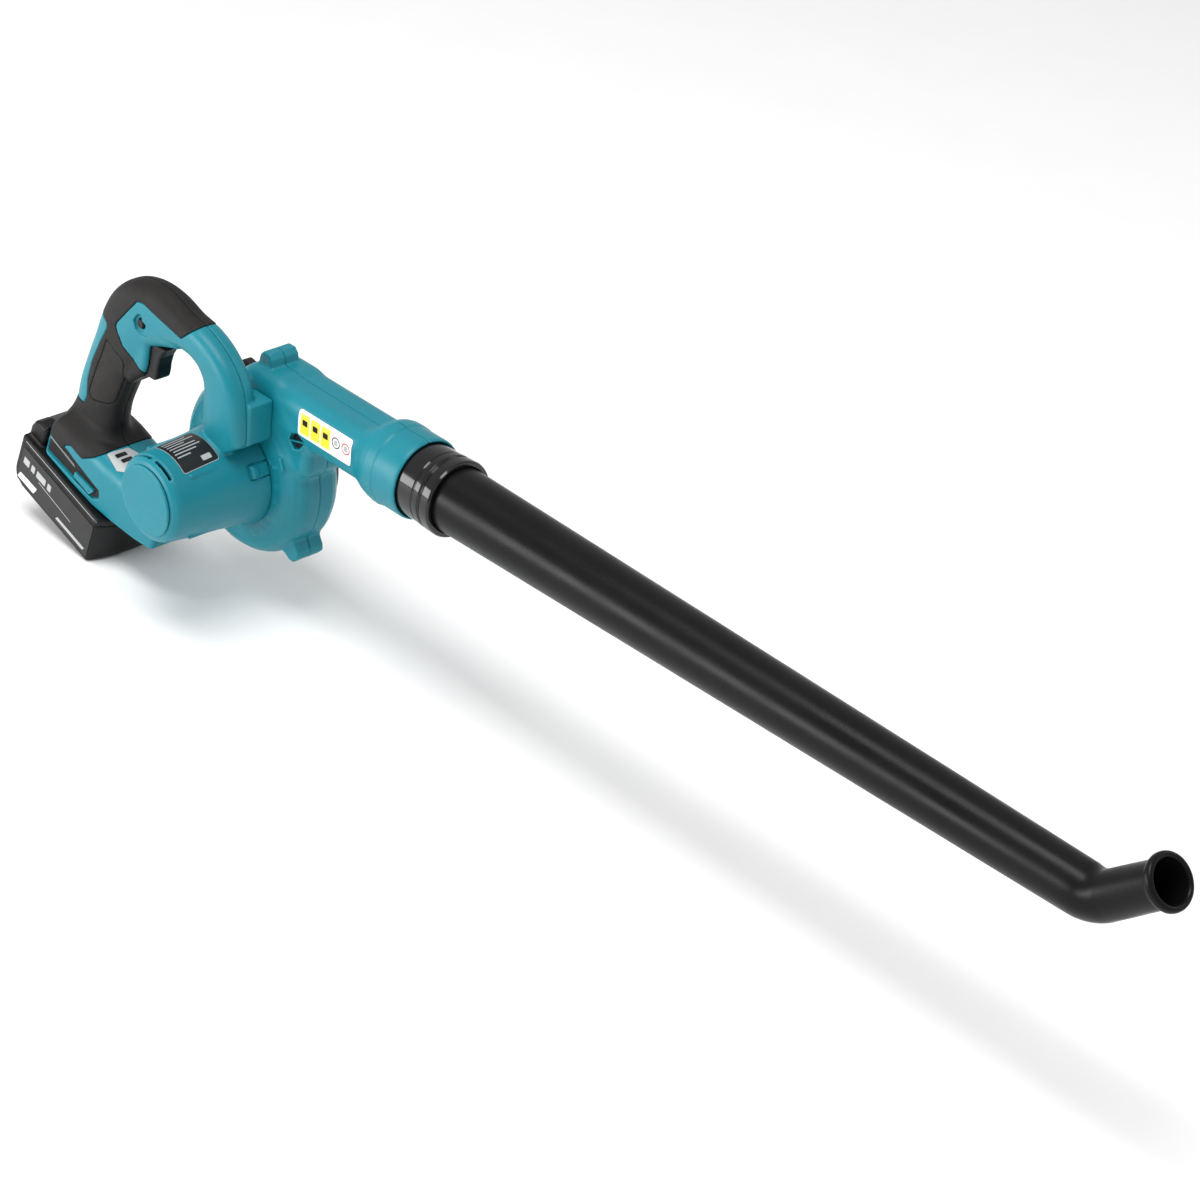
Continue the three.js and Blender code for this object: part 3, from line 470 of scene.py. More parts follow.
# ---- camera, light and floor ---------------------------------------------------------------------
def set_stage():
    camera = bpy.data.cameras.new("camera")
    camera.lens = 108
    camera.sensor_width = 36
    camera.clip_end = 50
    holder = bpy.data.objects.new("camera", camera)
    right = Vector((0.682, 0.726, 0.084)).normalized()
    back = Vector((0.594, -0.618, 0.515))
    back = (back - right * back.dot(right)).normalized()
    up = back.cross(right)
    turn = Matrix((right, up, back)).transposed()
    holder.matrix_world = Matrix.Translation((1.9959, -1.5395, 1.4484)) @ turn.to_4x4()
    bpy.context.scene.collection.objects.link(holder)
    bpy.context.scene.camera = holder

    world = bpy.data.worlds.new("studio")
    world.use_nodes = True
    shade = world.node_tree.nodes["Background"]
    shade.inputs["Color"].default_value = (1, 1, 1, 1)
    shade.inputs["Strength"].default_value = 0.62
    bpy.context.scene.world = world
    bpy.context.scene.view_settings.view_transform = "Standard"

    def area(name, place, aim, size, power, tall=None):
        light = bpy.data.lights.new(name, "AREA")
        light.energy = power
        light.size = size
        if tall:
            light.shape = "RECTANGLE"
            light.size_y = tall
        obj = bpy.data.objects.new(name, light)
        away = Vector(place) - Vector(aim)
        obj.matrix_world = Matrix.Translation(place) @ away.to_track_quat("Z", "Y").to_matrix().to_4x4()
        bpy.context.scene.collection.objects.link(obj)

    area("key", (0.2, -0.6, 2.6), (0.25, 0.1, 0), 2.2, 58, 1.0)
    area("side", (-1.0, -2.0, 0.42), (0.2, 0, 0.05), 1.8, 40, 0.8)
    area("far", (1.6, 2.2, 1.6), (0.5, 0, 0), 1.6, 8)

    low = CAD_LOW[2]
    points = [(-9, -9, low), (9, -9, low), (9, 9, low), (-9, 9, low)]
    mesh = bpy.data.meshes.new("floor")
    mesh.from_pydata(points, [], [(0, 1, 2, 3)])
    mesh.materials.append(moulded("floor_paint", (0.9, 0.9, 0.9), 0.8, grain=0.0002, bump=0.02, drift=0.006))
    floor = bpy.data.objects.new("floor", mesh)
    bpy.context.scene.collection.objects.link(floor)
    floor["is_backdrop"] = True


# ---- materials -----------------------------------------------------------------------------------
def moulded(name, colour, rough, grain=0.0004, bump=0.12, drift=0.06, wear=0.0, metal=0.0, coat=0.0,
            streak=None, coarse=0.0, shine=0.5):
    """A surface with a fine grain, slow drifts of colour and gloss, and paler worn edges. grain is the
    grain's size in metres; streak stretches it along an axis."""
    material = bpy.data.materials.new(name)
    material.use_nodes = True
    nodes, links = material.node_tree.nodes, material.node_tree.links
    shader = nodes["Principled BSDF"]
    shader.inputs["Metallic"].default_value = metal
    shader.inputs["Specular IOR Level"].default_value = shine
    shader.inputs["Coat Weight"].default_value = coat
    shader.inputs["Coat Roughness"].default_value = 0.08
    place = nodes.new("ShaderNodeTexCoord")
    where = place.outputs["Object"]
    if streak:
        scaled = nodes.new("ShaderNodeMapping")
        scaled.inputs["Scale"].default_value = streak
        links.new(where, scaled.inputs["Vector"])
        where = scaled.outputs["Vector"]

    def noise(scale, detail, source):
        texture = nodes.new("ShaderNodeTexNoise")
        texture.inputs["Scale"].default_value = scale
        texture.inputs["Detail"].default_value = detail
        links.new(source, texture.inputs["Vector"])
        return texture.outputs["Fac"]

    def spread(value, low, high, to_low, to_high):
        fit = nodes.new("ShaderNodeMapRange")
        fit.inputs["From Min"].default_value = low
        fit.inputs["From Max"].default_value = high
        fit.inputs["To Min"].default_value = to_low
        fit.inputs["To Max"].default_value = to_high
        links.new(value, fit.inputs["Value"])
        return fit.outputs["Result"]

    def mixed(factor, first, second):
        mix = nodes.new("ShaderNodeMix")
        mix.data_type = "RGBA"
        links.new(factor, mix.inputs["Factor"])
        for socket, value in ((mix.inputs["A"], first), (mix.inputs["B"], second)):
            if isinstance(value, tuple):
                socket.default_value = (*value, 1)
            else:
                links.new(value, socket)
        return mix.outputs["Result"]

    slow = noise(14, 3, place.outputs["Object"])
    fine = noise(1 / grain, 2, where)
    darker = tuple(c * (1 - drift) for c in colour)
    lighter = tuple(min(1, c * (1 + drift) + 0.002) for c in colour)
    tint = mixed(spread(slow, 0.3, 0.7, 0, 1), darker, lighter)
    tint = mixed(spread(fine, 0.35, 0.75, 0, 0.3), tint, tuple(min(1, c * 1.35 + 0.004) for c in colour))
    if wear:
        shape = nodes.new("ShaderNodeNewGeometry")
        edge = spread(shape.outputs["Pointiness"], 0.53, 0.62, 0, wear)
        tint = mixed(edge, tint, tuple(min(1, c * 1.7 + 0.03) for c in colour))
    links.new(tint, shader.inputs["Base Color"])
    links.new(spread(noise(60, 4, where), 0.3, 0.7, max(rough - 0.07, 0.04), rough + 0.07),
              shader.inputs["Roughness"])
    relief = nodes.new("ShaderNodeBump")
    relief.inputs["Strength"].default_value = bump
    relief.inputs["Distance"].default_value = grain
    links.new(fine, relief.inputs["Height"])
    last = relief
    if coarse:
        ripple = nodes.new("ShaderNodeBump")
        ripple.inputs["Strength"].default_value = coarse
        ripple.inputs["Distance"].default_value = 0.001
        links.new(noise(45, 2, place.outputs["Object"]), ripple.inputs["Height"])
        links.new(relief.outputs["Normal"], ripple.inputs["Normal"])
        last = ripple
    links.new(last.outputs["Normal"], shader.inputs["Normal"])
    return material


TEAL = moulded("teal_plastic", (0.003, 0.175, 0.225), 0.38, 0.0005, 0.18, 0.05, wear=0.25, coarse=0.05,
               shine=0.3)
RUBBER = moulded("grip_rubber", (0.0085, 0.0075, 0.007), 0.58, 0.0007, 0.45, 0.12, wear=0.12, shine=0.22)
PAD = moulded("grip_pad", (0.012, 0.0105, 0.0095), 0.7, 0.0011, 0.9, 0.12, shine=0.3)
# Real black plastic parts, and also the painted shade on the casing slot's pocket floor.
BLACK = moulded("black_plastic", (0.005, 0.005, 0.0055), 0.42, 0.0005, 0.2, 0.1, wear=0.15, shine=0.25)
TUBE = moulded("tube_plastic", (0.0035, 0.0035, 0.004), 0.30, 0.0006, 0.10, 0.12, coarse=0.06,
               streak=(0.25, 1, 1), shine=0.13)
GLOSS = moulded("polished_plastic", (0.004, 0.004, 0.0045), 0.12, 0.0009, 0.02, 0.1, coat=0.35, shine=0.25)
PACK = moulded("pack_plastic", (0.0035, 0.0035, 0.0038), 0.38, 0.0004, 0.25, 0.12, wear=0.15, shine=0.22)
PACK_GREY = moulded("pack_grey", (0.05, 0.049, 0.05), 0.45, 0.0004, 0.25, 0.1, shine=0.3)
GREY = moulded("grey_plastic", (0.16, 0.17, 0.17), 0.5, 0.0005, 0.2, 0.1)
WHITE = moulded("white_print", (0.80, 0.80, 0.79), 0.42, 0.0006, 0.05, 0.03)
YELLOW = moulded("yellow_print", (0.85, 0.62, 0.02), 0.42, 0.0006, 0.05, 0.05)
# Grey for printed marks, and also for the painted highlight along the battery lid's top edge.
GREY_PRINT_AND_HIGHLIGHT = moulded("grey_print_and_highlight", (0.36, 0.37, 0.37), 0.45, 0.0006, 0.06, 0.08)
DARK_PRINT = moulded("dark_print", (0.008, 0.008, 0.009), 0.33, 0.0006, 0.05, 0.15, shine=0.35)
STEEL = moulded("screw_steel", (0.50, 0.51, 0.53), 0.30, 0.0003, 0.15, 0.08, metal=1.0)
BRIGHT = moulded("motor_steel", (0.46, 0.47, 0.49), 0.34, 0.0004, 0.2, 0.1, metal=1.0, streak=(1, 9, 1))
MAGNET = moulded("magnet", (0.035, 0.035, 0.038), 0.6, 0.0005, 0.4, 0.15)
COPPER = moulded("copper", (0.60, 0.26, 0.12), 0.32, 0.0005, 0.4, 0.15, metal=1.0, streak=(1, 12, 1))
CARBON = moulded("carbon", (0.02, 0.02, 0.02), 0.55, 0.0003, 0.4, 0.2)
BOARD = moulded("circuit_board", (0.015, 0.10, 0.04), 0.35, 0.0012, 0.15, 0.15)
CELL = moulded("cell_sleeve", (0.06, 0.26, 0.34), 0.28, 0.0008, 0.05, 0.08)
RED = moulded("lead_red", (0.42, 0.015, 0.015), 0.4, 0.0004, 0.15, 0.08)
LEAD = moulded("lead_black", (0.010, 0.010, 0.011), 0.4, 0.0004, 0.15, 0.1)
set_stage()

CARRIED = {
    "screw_steel": STEEL, "motor_steel": BRIGHT, "magnet": MAGNET, "copper": COPPER, "carbon": CARBON,
    "circuit_board": BOARD, "cell_sleeve": CELL, "lead_red": RED, "lead_black": LEAD, "casing_teal": TEAL,
    "rubber": RUBBER, "black_plastic": BLACK, "nozzle_plastic": TUBE, "nozzle_gloss": GLOSS,
    "pack_plastic": PACK, "label_white": WHITE, "label_black": DARK_PRINT,
}
for part in frame["record"]["subparts"]:
    holder = frame["nodes"][part["node"]]
    if not holder.material_slots:
        holder.data.materials.append(None)
    for place in holder.material_slots:
        place.link = "OBJECT"
        place.material = CARRIED[part["material_slot"]]


# ---- round pieces and labels ---------------------------------------------------------------------
def turned_piece(name, profile, centre, axis, body, material, replaces, segments=128, angle=32):
    """A closed profile of (radius, place along the axis) turned about x or y through the centre."""
    t = np.arange(segments) * 2 * math.pi / segments
    c, s = np.cos(t), np.sin(t)
    points, rings = [], []
    for r, a in profile:
        if r < 1e-6:
            ring = [(a, 0, 0)] if axis == "x" else [(0, a, 0)]
        elif axis == "x":
            ring = list(zip(np.full(segments, a), r * c, r * s))
        else:
            ring = list(zip(r * s, np.full(segments, a), r * c))
        rings.append((len(points), len(ring)))
        points += ring
    faces = []
    for (p, n), (q, m) in zip(rings, rings[1:] + rings[:1]):
        if n == 1 and m == 1:
            continue
        for k in range(segments):
            j = (k + 1) % segments
            if n == 1:
                faces.append((p, q + k, q + j))
            elif m == 1:
                faces.append((p + j, p + k, q))
            else:
                faces.append((p + j, p + k, q + k, q + j))
    return finished(name, np.array(points, float) + centre, faces, body, material, replaces, angle)


def finished(name, points, faces, body, material, replaces=(), angle=None):
    """Builds a piece after turning its faces outwards."""
    mesh = bmesh.new()
    for p in points:
        mesh.verts.new(p)
    mesh.verts.ensure_lookup_table()
    for f in faces:
        mesh.faces.new([mesh.verts[i] for i in f])
    bmesh.ops.recalc_face_normals(mesh, faces=mesh.faces)
    if mesh.calc_volume(signed=True) < 0:
        bmesh.ops.reverse_faces(mesh, faces=mesh.faces)
    faces = [[v.index for v in f.verts] for f in mesh.faces]
    mesh.free()
    return build(name, points, faces, body, material, replaces, angle)


def soften(profile, radius, steps=4):
    """Rounds the corners of a closed profile, leaving those on the axis."""
    radii = [0 if r < 1e-6 else radius for r, _ in profile]
    return rounded(profile, radii, steps)


def decal(name, outline, start, across, upward, inward, field, body, material, replaces=(),
          lift=0.08, thick=0.25, rings=10, hole=0.0):
    """A thin label that lies on the surface of a field. Its outline is in (across, upward) from start,
    and it is pressed on along inward."""
    outline = np.asarray(outline, float)
    centre = (outline.max(0) + outline.min(0)) / 2
    shares = np.linspace(hole, 1, rings + 1)
    if hole == 0:
        shares = shares[1:]
    flat = np.concatenate([centre + (outline - centre) * s for s in shares])
    if hole == 0:
        flat = np.vstack([flat, centre])
    start, across, upward, inward = (np.asarray(v, float) for v in (start, across, upward, inward))
    first = start + flat[:, :1] * across + flat[:, 1:] * upward
    low = np.zeros(len(flat))
    for d in np.arange(0, 90, 0.5):
        outside = field(*(first + inward * low[:, None]).T) > 0
        low = np.where(outside, low + 0.5, low)
        if not outside.any():
            break
    high = low.copy()
    low = low - 0.5
    for _ in range(14):
        middle = (low + high) / 2
        outside = field(*(first + inward * middle[:, None]).T) > 0
        low, high = np.where(outside, middle, low), np.where(outside, high, middle)
    base = first + inward * (low - lift)[:, None]
    top = base - inward * thick
    n, m, total = len(outline), len(shares), len(flat)
    faces = []
    for i in range(m - 1):
        for k in range(n):
            j = (k + 1) % n
            quad = (i * n + k, i * n + j, (i + 1) * n + j, (i + 1) * n + k)
            faces += [quad, tuple(total + q for q in reversed(quad))]
    edges = [(m - 1) * n] + ([0] if hole else [])
    for ring in edges:
        for k in range(n):
            j = (k + 1) % n
            faces.append((ring + k, ring + j, total + ring + j, total + ring + k))
    if not hole:
        for k in range(n):
            j = (k + 1) % n
            faces += [(total - 1, k, j), (2 * total - 1, total + j, total + k)]
    return finished(name, np.vstack([base, top]), faces, body, material, replaces, 40)


def dense(points, gap=3.0):
    """An outline with points no further apart than gap."""
    out = []
    ends = list(points[1:]) + [points[0]]
    for a, b in zip(points, ends):
        count = max(1, int(math.hypot(b[0] - a[0], b[1] - a[1]) / gap + 0.999))
        out += [(a[0] + (b[0] - a[0]) * k / count, a[1] + (b[1] - a[1]) * k / count) for k in range(count)]
    return out


def strip(u0, v0, u1, v1, radius=0.8, gap=3.0):
    return dense(rounded([(u0, v0), (u1, v0), (u1, v1), (u0, v1)], radius, 3), gap)


def disc(u, v, r, count=32):
    t = np.arange(count) * 2 * math.pi / count
    return np.stack([u + r * np.cos(t), v + r * np.sin(t)], 1)


# ---- handle --------------------------------------------------------------------------------------
SKIN_SIDE = rounded([(-2, 150), (-14, 131), (-27, 119), (-76, 130), (-84, 128.5), (-112, 96), (-102, 81),
                     (-89, 70.5), (-79, 64.5), (-70, 50), (-84, 20), (-60, -20), (-120, -70), (-240, -70),
                     (-240, 170), (-2, 170)], [0, 4, 3, 8, 6, 7, 10, 8, 5, 0, 0, 0, 0, 0, 0, 0])
BACK_STRIP = rounded([(-150, 100), (-121, 92), (-132.5, 72), (-144, 48), (-149, 30), (-149, 14), (-153, 6),
                      (-175, 6)], [0, 6, 10, 10, 8, 6, 2, 0])
FOOT_SKIN = rounded([(-60, 22), (-12, 22), (-8, 29), (-2, 34), (14, 33.3), (25.4, 44), (30, 50), (30, 80),
                     (-60, 120)], [0, 2, 2, 3, 5, 6, 3, 0, 0])
GRIP_PAD = rounded([(-123, 79), (-101, 67), (-104, 50), (-117, 21), (-122, 17), (-142, 14), (-146, 20),
                    (-137, 44), (-127, 67)], [3, 8, 20, 3, 3, 5, 4, 10, 10])
STRAP_RECESS = rounded([(-31, 23), (-12, 24), (-6, 27), (42, 21), (44, 13), (37, 7), (-29, 4)],
                       [3, 2, 2, 2, 2, 2, 3])


def skin_zone(x, y, z):
    """Negative where the black rubber covers the handle."""
    px, py, pz = pack_axes(x, y, z)
    lower = polygon(px, pz, FOOT_SKIN)
    lower = np.minimum(lower, np.maximum(slab(px, -90, 120), np.maximum(np.abs(py) - 24, 70 - pz)))
    lower = np.minimum(lower, np.maximum(slab(px, -90, -8), np.maximum(np.abs(py) - 60, 22 - pz)))
    side = np.maximum(polygon(x, z, SKIN_SIDE), lower)
    return np.maximum(side, -np.maximum(polygon(x, z, BACK_STRIP), 7 - np.abs(y - HANDLE_Y)))


HANDLE_SCREWS = [(-140, 14), (-109, 106), (-36, 120.5), (3, 112.5)]
LOCK = (-80, 110)
LOCK_SHAPE = rounded([(-8, 1), (-2.5, 8), (3, 10), (3, 4.5), (9, 2), (6.5, -4), (10, -8.5), (0.5, -10),
                      (-5.5, -7)], 1.2)


def pockets(x, y, z, shape):
    """Cuts the trigger's and lock button's places, the pack's channel and the screw holes."""
    side = y - HANDLE_Y
    px, py, pz = pack_axes(x, y, z)
    slot = polygon(x, z, [(-100, 66), (-90, 58.5), (-60, 58.5), (-40, 72), (-40, 94.6), (-100, 94.6)])
    shape = minus(shape, np.maximum(slot, np.abs(side) - 8.5), 0.5)
    lock = np.maximum(polygon(x - LOCK[0], z - LOCK[1], LOCK_SHAPE), side + 13.4)
    shape = minus(shape, lock, 0.5)
    shape = np.maximum(shape, -np.maximum(np.hypot(x - LOCK[0], z - LOCK[1]) - 4.7, side + 5))
    rail = np.minimum(np.maximum(slab(px, -70, 46.5), np.maximum(np.abs(py) - 24.8, slab(pz, -9, 8.4))),
                      np.maximum(slab(px, -70, 46.5), np.maximum(np.abs(py) - 27.8, slab(pz, 7.3, 13))))
    bay = np.maximum(slab(px, 23.8, 44.6), np.maximum(np.abs(py) - 8.4, slab(pz, 12, 17.6)))
    shape = np.maximum(shape, -np.minimum(rail, bay))
    shape = minus(shape, np.maximum(polygon(px, pz, STRAP_RECESS), py + 29.5), 0.5)
    shank, head = 2.3, 4
    for sx, sz in HANDLE_SCREWS:
        r = np.hypot(x - sx, z - sz)
        shape = np.maximum(shape, -np.maximum(r - shank, -11 - side))
        shape = minus(shape, np.maximum(r - head, 10.2 - side), 0.5)
    return shape


def inner_space(x, y, z, outer):
    """The hollow of the handle, with posts left round its screws, clear of the barrel."""
    _, _, pz = pack_axes(x, y, z)
    wall, post, barrel_clear = 5.2, 5.6, 43
    out = np.maximum(outer + wall, 18 - pz)
    posts = np.minimum.reduce([np.hypot(x - sx, z - sz) - post for sx, sz in HANDLE_SCREWS])
    out = np.maximum(out, -posts)
    return np.maximum(out, barrel_clear - np.hypot(x, z))


def handle_core(x, y, z):
    outer = handle_body(x, y, z)
    zone = skin_zone(x, y, z)
    out = common(outer + 0.35, union(-zone, outer + 2.7, 0.4), 0.7)
    out = np.maximum(out, -inner_space(x, y, z, outer))
    return out, outer


def tongue(x, y, z):
    """The clip's tongue, which lies along the barrel up to the fan casing, and the groove round it."""
    c, s = math.cos(math.radians(27)), math.sin(math.radians(27))
    out_w, across = x * c + z * s, z * c - x * s
    flat = box(out_w, y, across, (30, -44.5, -5.6), (47.2, -27.7, 5.6), 1.0)
    boss = box(out_w, y, across, (30, -43.9, -3.6), (48.3, -38.2, 3.6), 1.0)
    trench = box(out_w, y, across, (30, -45.4, -6.5), (60, -20, 6.5), 1.0)
    return np.minimum(flat, boss), np.maximum(trench, -(barrel(x, y, z) + 1.3))


def handle_right(x, y, z):
    core, outer = handle_core(x, y, z)
    core = common(core, y - HANDLE_Y + SEAM, SEAM_EDGE)
    tube = barrel(x, y, z)
    out = union(core, tube, 3.5)
    clip, groove = tongue(x, y, z)
    out = np.minimum(minus(out, groove, 0.3), clip)
    out = pockets(x, y, z, out)
    radius = np.hypot(x, z)
    out = np.maximum(out, -barrel_hollow(x, y, z))
    out = minus(out, np.maximum(radius - 29.7, y + 110), 0.3)
    angle = np.degrees(np.arctan2(z, x))
    for low, high in ((50, 84), (92, 128), (-128, -92), (-84, -50)):
        arc = slab(angle, low, high) * radius * math.pi / 180
        vent = np.maximum(arc, slab(y, -113.9, -111.2))
        out = minus(out, np.maximum(vent, 30 - radius), 0.3)
    fins = np.abs(np.abs(np.abs(x) - np.abs(z)) / math.sqrt(2)) - 1.5
    fins = np.maximum(np.maximum(fins, slab(radius, 29.4, 41)), slab(y, -97, -48))
    return np.minimum(out, fins)


def handle_left(x, y, z):
    core, outer = handle_core(x, y, z)
    core = common(core, HANDLE_Y + SEAM - y, SEAM_EDGE)
    step = common(box(x, y, z, (20, -51.7, 28), (44, -27.5, 84), 2), arm_end(x, z), 1.5)
    out = union(core, step, 2)
    out = pockets(x, y, z, out)
    out = np.maximum(out, -(barrel(x, y, z) - 0.4))
    return np.maximum(out, -np.maximum(-27.5 - y, np.hypot(x, z) - 87))


def rubber(x, y, z):
    outer = handle_body(x, y, z)
    zone = skin_zone(x, y, z)
    out = common(zone + 0.3, outer, 1.0)
    out = np.maximum(out, -(outer + 2.4))
    seat = np.maximum(polygon(x, z, GRIP_PAD), 5 - np.abs(y - HANDLE_Y))
    return pockets(x, y, z, np.maximum(out, -seat))


def grip_pad(x, y, z):
    """The textured insert in each side of the grip."""
    outer = handle_body(x, y, z)
    shape = np.maximum(common(polygon(x, z, GRIP_PAD) + 0.5, outer + 0.1, 0.6), -(outer + 2.45))
    return np.maximum(shape, 5.6 - np.abs(y - HANDLE_Y))


def right_of(field):
    return lambda x, y, z: common(field(x, y, z), y - HANDLE_Y + SEAM, SEAM_EDGE)


def left_of(field):
    return lambda x, y, z: common(field(x, y, z), HANDLE_Y + SEAM - y, SEAM_EDGE)


carve("handle_right_shell", handle_right, (-192, -122, -90), (52, -25, 152), "housing", TEAL,
      ["handle_right"])
carve("handle_left_shell", handle_left, (-192, -54, -90), (52, -14, 152), "housing", TEAL,
      ["handle_left"])
carve("grip_pad_right", right_of(grip_pad), (-150, -75, 8), (-92, -50, 86), "housing", PAD, (),
      step=VOXEL * 0.7)
carve("grip_pad_left", left_of(grip_pad), (-150, -54, 8), (-92, -29, 86), "housing", PAD, (),
      step=VOXEL * 0.7)
carve("grip_rubber_right_skin", right_of(rubber), (-192, -90, -60), (4, -50, 152), "housing", RUBBER,
      ["grip_rubber_right"])
carve("grip_rubber_left_skin", left_of(rubber), (-192, -54, -60), (4, -14, 152), "housing", RUBBER,
      ["grip_rubber_left"])


# ---- fan casing ----------------------------------------------------------------------------------
# A start for labels pressed on from the right, and the opening in the right half above the clip, whose dark
# inside is painted shade.
NEAR_SIDE = (0, -60, 0)
SLOT = rounded([(66.7, 63.8), (74.1, 66.1), (81.3, 60.9), (74.9, 51.7), (67.7, 48.8), (62.2, 56.1)], 1.2)


def half_casing(side):
    def field(x, y, z):
        out = casing(x, y, z)
        if side < 0:
            rib = polygon(x, z, rounded([(52.7, 35.2), (56.6, 37), (61, 26), (57, 23.4)], 1.5))
            out = union(out, common(rib, slab(y, -29, -24), 1), 1)
            window = polygon(x, z, SLOT)
            out = np.minimum(out, np.maximum(window - 2.5, slab(y, -25, -18)))
            out = minus(out, np.maximum(window, slab(y, -40, -20.6)), 0.6)
            u, w = x + 56.5, z - 13.5
            mark = rounded_bar(u * 0.35 + w * 0.94, u * 0.94 - w * 0.35, 0.7, 4.5, 0.6)
            out = minus(out, np.maximum(mark, slab(y, -40, -25.4)), 0.3)
        return common(out, side * -y + SEAM, 0.8)
    return field


carve("scroll_right_shell", half_casing(-1), (-79, -36, -92), (203, 3, 113), "housing", TEAL,
      ["scroll_right"])
carve("scroll_left_shell", half_casing(1), (-79, -3, -92), (203, 36, 113), "housing", TEAL,
      ["scroll_left"])
# A thin black disc on the pocket's floor: painted shade for the dark inside of the opening.
turned_piece("casing_slot_painted_shade", [(0, -20.9), (10.5, -20.9), (10.5, -20.3), (0, -20.3)],
             (71.2, 0, 57.5), "y", "housing", BLACK, (), 6)
SLOT_BAR = dense(rounded([(62.4, 55.6), (62.6, 54.5), (81, 59.3), (80.9, 60.4)], 0.3, 2))
decal("casing_slot_bar", SLOT_BAR, NEAR_SIDE, (1, 0, 0), (0, 0, 1), (0, 1, 0),
      lambda x, y, z: -23.2 - y, "housing", TEAL, (), 0, 1.6, 2)


def cover_field(x, y, z):
    r = np.hypot(x, z)
    dome = polygon(r, y, rounded([(0, 35.3), (46, 35.3), (50, 32.3), (51, 27.4), (58, 27.4), (56.5, 34.5),
                                  (50, 39), (0, 39.2)], [0, 1, 1, 0, 1, 2, 3, 0]))
    outline = rounded([(-42, 24), (-28, 38), (-50, 56), (-62, 58), (-70, 53), (-72, 44)], 3)
    tab = np.maximum(polygon(x, z, outline), slab(y, 27.4, 35.6))
    out = union(dome, np.maximum(tab, 51.5 - r), 1.5)
    turn = np.degrees(np.arctan2(z, x))
    turn = (turn + 15) % 30 - 15
    along, off = r * np.cos(np.radians(turn)), r * np.sin(np.radians(turn))
    slots = rounded_bar(along - 29, off, 15, 3 - 0.02 * (44 - along), 2.4)
    out = minus(out, np.maximum(slots, 30 - y), 0.8)
    ring = np.maximum(np.abs(r - 47) - 0.5, 38.5 - y)
    return minus(out, ring, 0.3)


carve("intake_cover_grille", cover_field, (-76, 26, -62), (62, 41, 62), "housing", BLACK,
      ["intake_cover"], step=VOXEL * 0.9)


# ---- motor cover ---------------------------------------------------------------------------------
def cap_field(x, y, z):
    r = np.hypot(x, z)
    face = -121 + np.clip(-5 - z, 0, 1.2) * 0.6 + np.maximum(0, -6.2 - z) * 0.05
    out = polygon(r, y, rounded([(0, -121), (30.2, -121), (31, -118.8), (29.3, -118.3), (29.3, -111),
                                 (26, -111), (26, -117.5), (0, -117.5)], [0, 1.2, 0.8, 0, 0, 0, 0, 0]))
    return common(out, face - y, 0.6)


carve("motor_cover_cap", cap_field, (-33, -123, -33), (33, -109, 33), "housing", TEAL,
      ["motor_cover"], step=VOXEL * 0.7)


# ---- trigger and lock button ---------------------------------------------------------------------
TRIGGER_SIDE = rounded([(-84, 59.8), (-71, 59.8), (-67, 62), (-64.5, 69), (-63.2, 76), (-61.6, 84), (-58, 90),
                        (-55, 94), (-92, 94), (-92, 70), (-89, 65)], [3, 3, 4, 4, 4, 4, 4, 1, 1, 3, 3])


def trigger_field(x, y, z):
    side = np.abs(y - HANDLE_Y)
    dished = 1.2 * np.exp(-((z - 74) / 8) ** 2) * np.clip((x + 76) / 10, 0, 1)
    key = common(polygon(x + dished, z, TRIGGER_SIDE), side - 8, 3)
    rod = np.maximum(np.hypot(y - HANDLE_Y, z - 84) - 2.4, slab(x, -108, -91))
    return np.minimum(key, rod)


carve("trigger_key_shape", trigger_field, (-110, -62, 57), (-49, -42, 96), "trigger_key", BLACK,
      ["trigger"], step=VOXEL * 0.6)
LOCK_PROFILE = [(0, -15), (3.4, -15.4), (4.2, -14.2), (4.2, -5), (3.3, -5), (3.3, -12.2), (0, -12.2)]
turned_piece("lock_button_shape", soften(LOCK_PROFILE, 0.7), (LOCK[0], HANDLE_Y, LOCK[1]), "y", "lock_key",
             BLACK, ["lock_button"], 48)


# ---- nozzle --------------------------------------------------------------------------------------
turned_piece("nozzle_sleeve_shape", soften([
    (28.9, 172), (31.4, 172), (31.4, 216), (30.6, 217.2), (32, 219), (32, 224), (30.6, 225.5), (32.5, 228.5),
    (32.5, 236), (31.4, 238), (28, 238), (28, 225), (28.9, 225)], 0.8), (0, 0, NOZZLE_Z), "x", "nozzle",
    GLOSS, ["nozzle_sleeve"], 160)


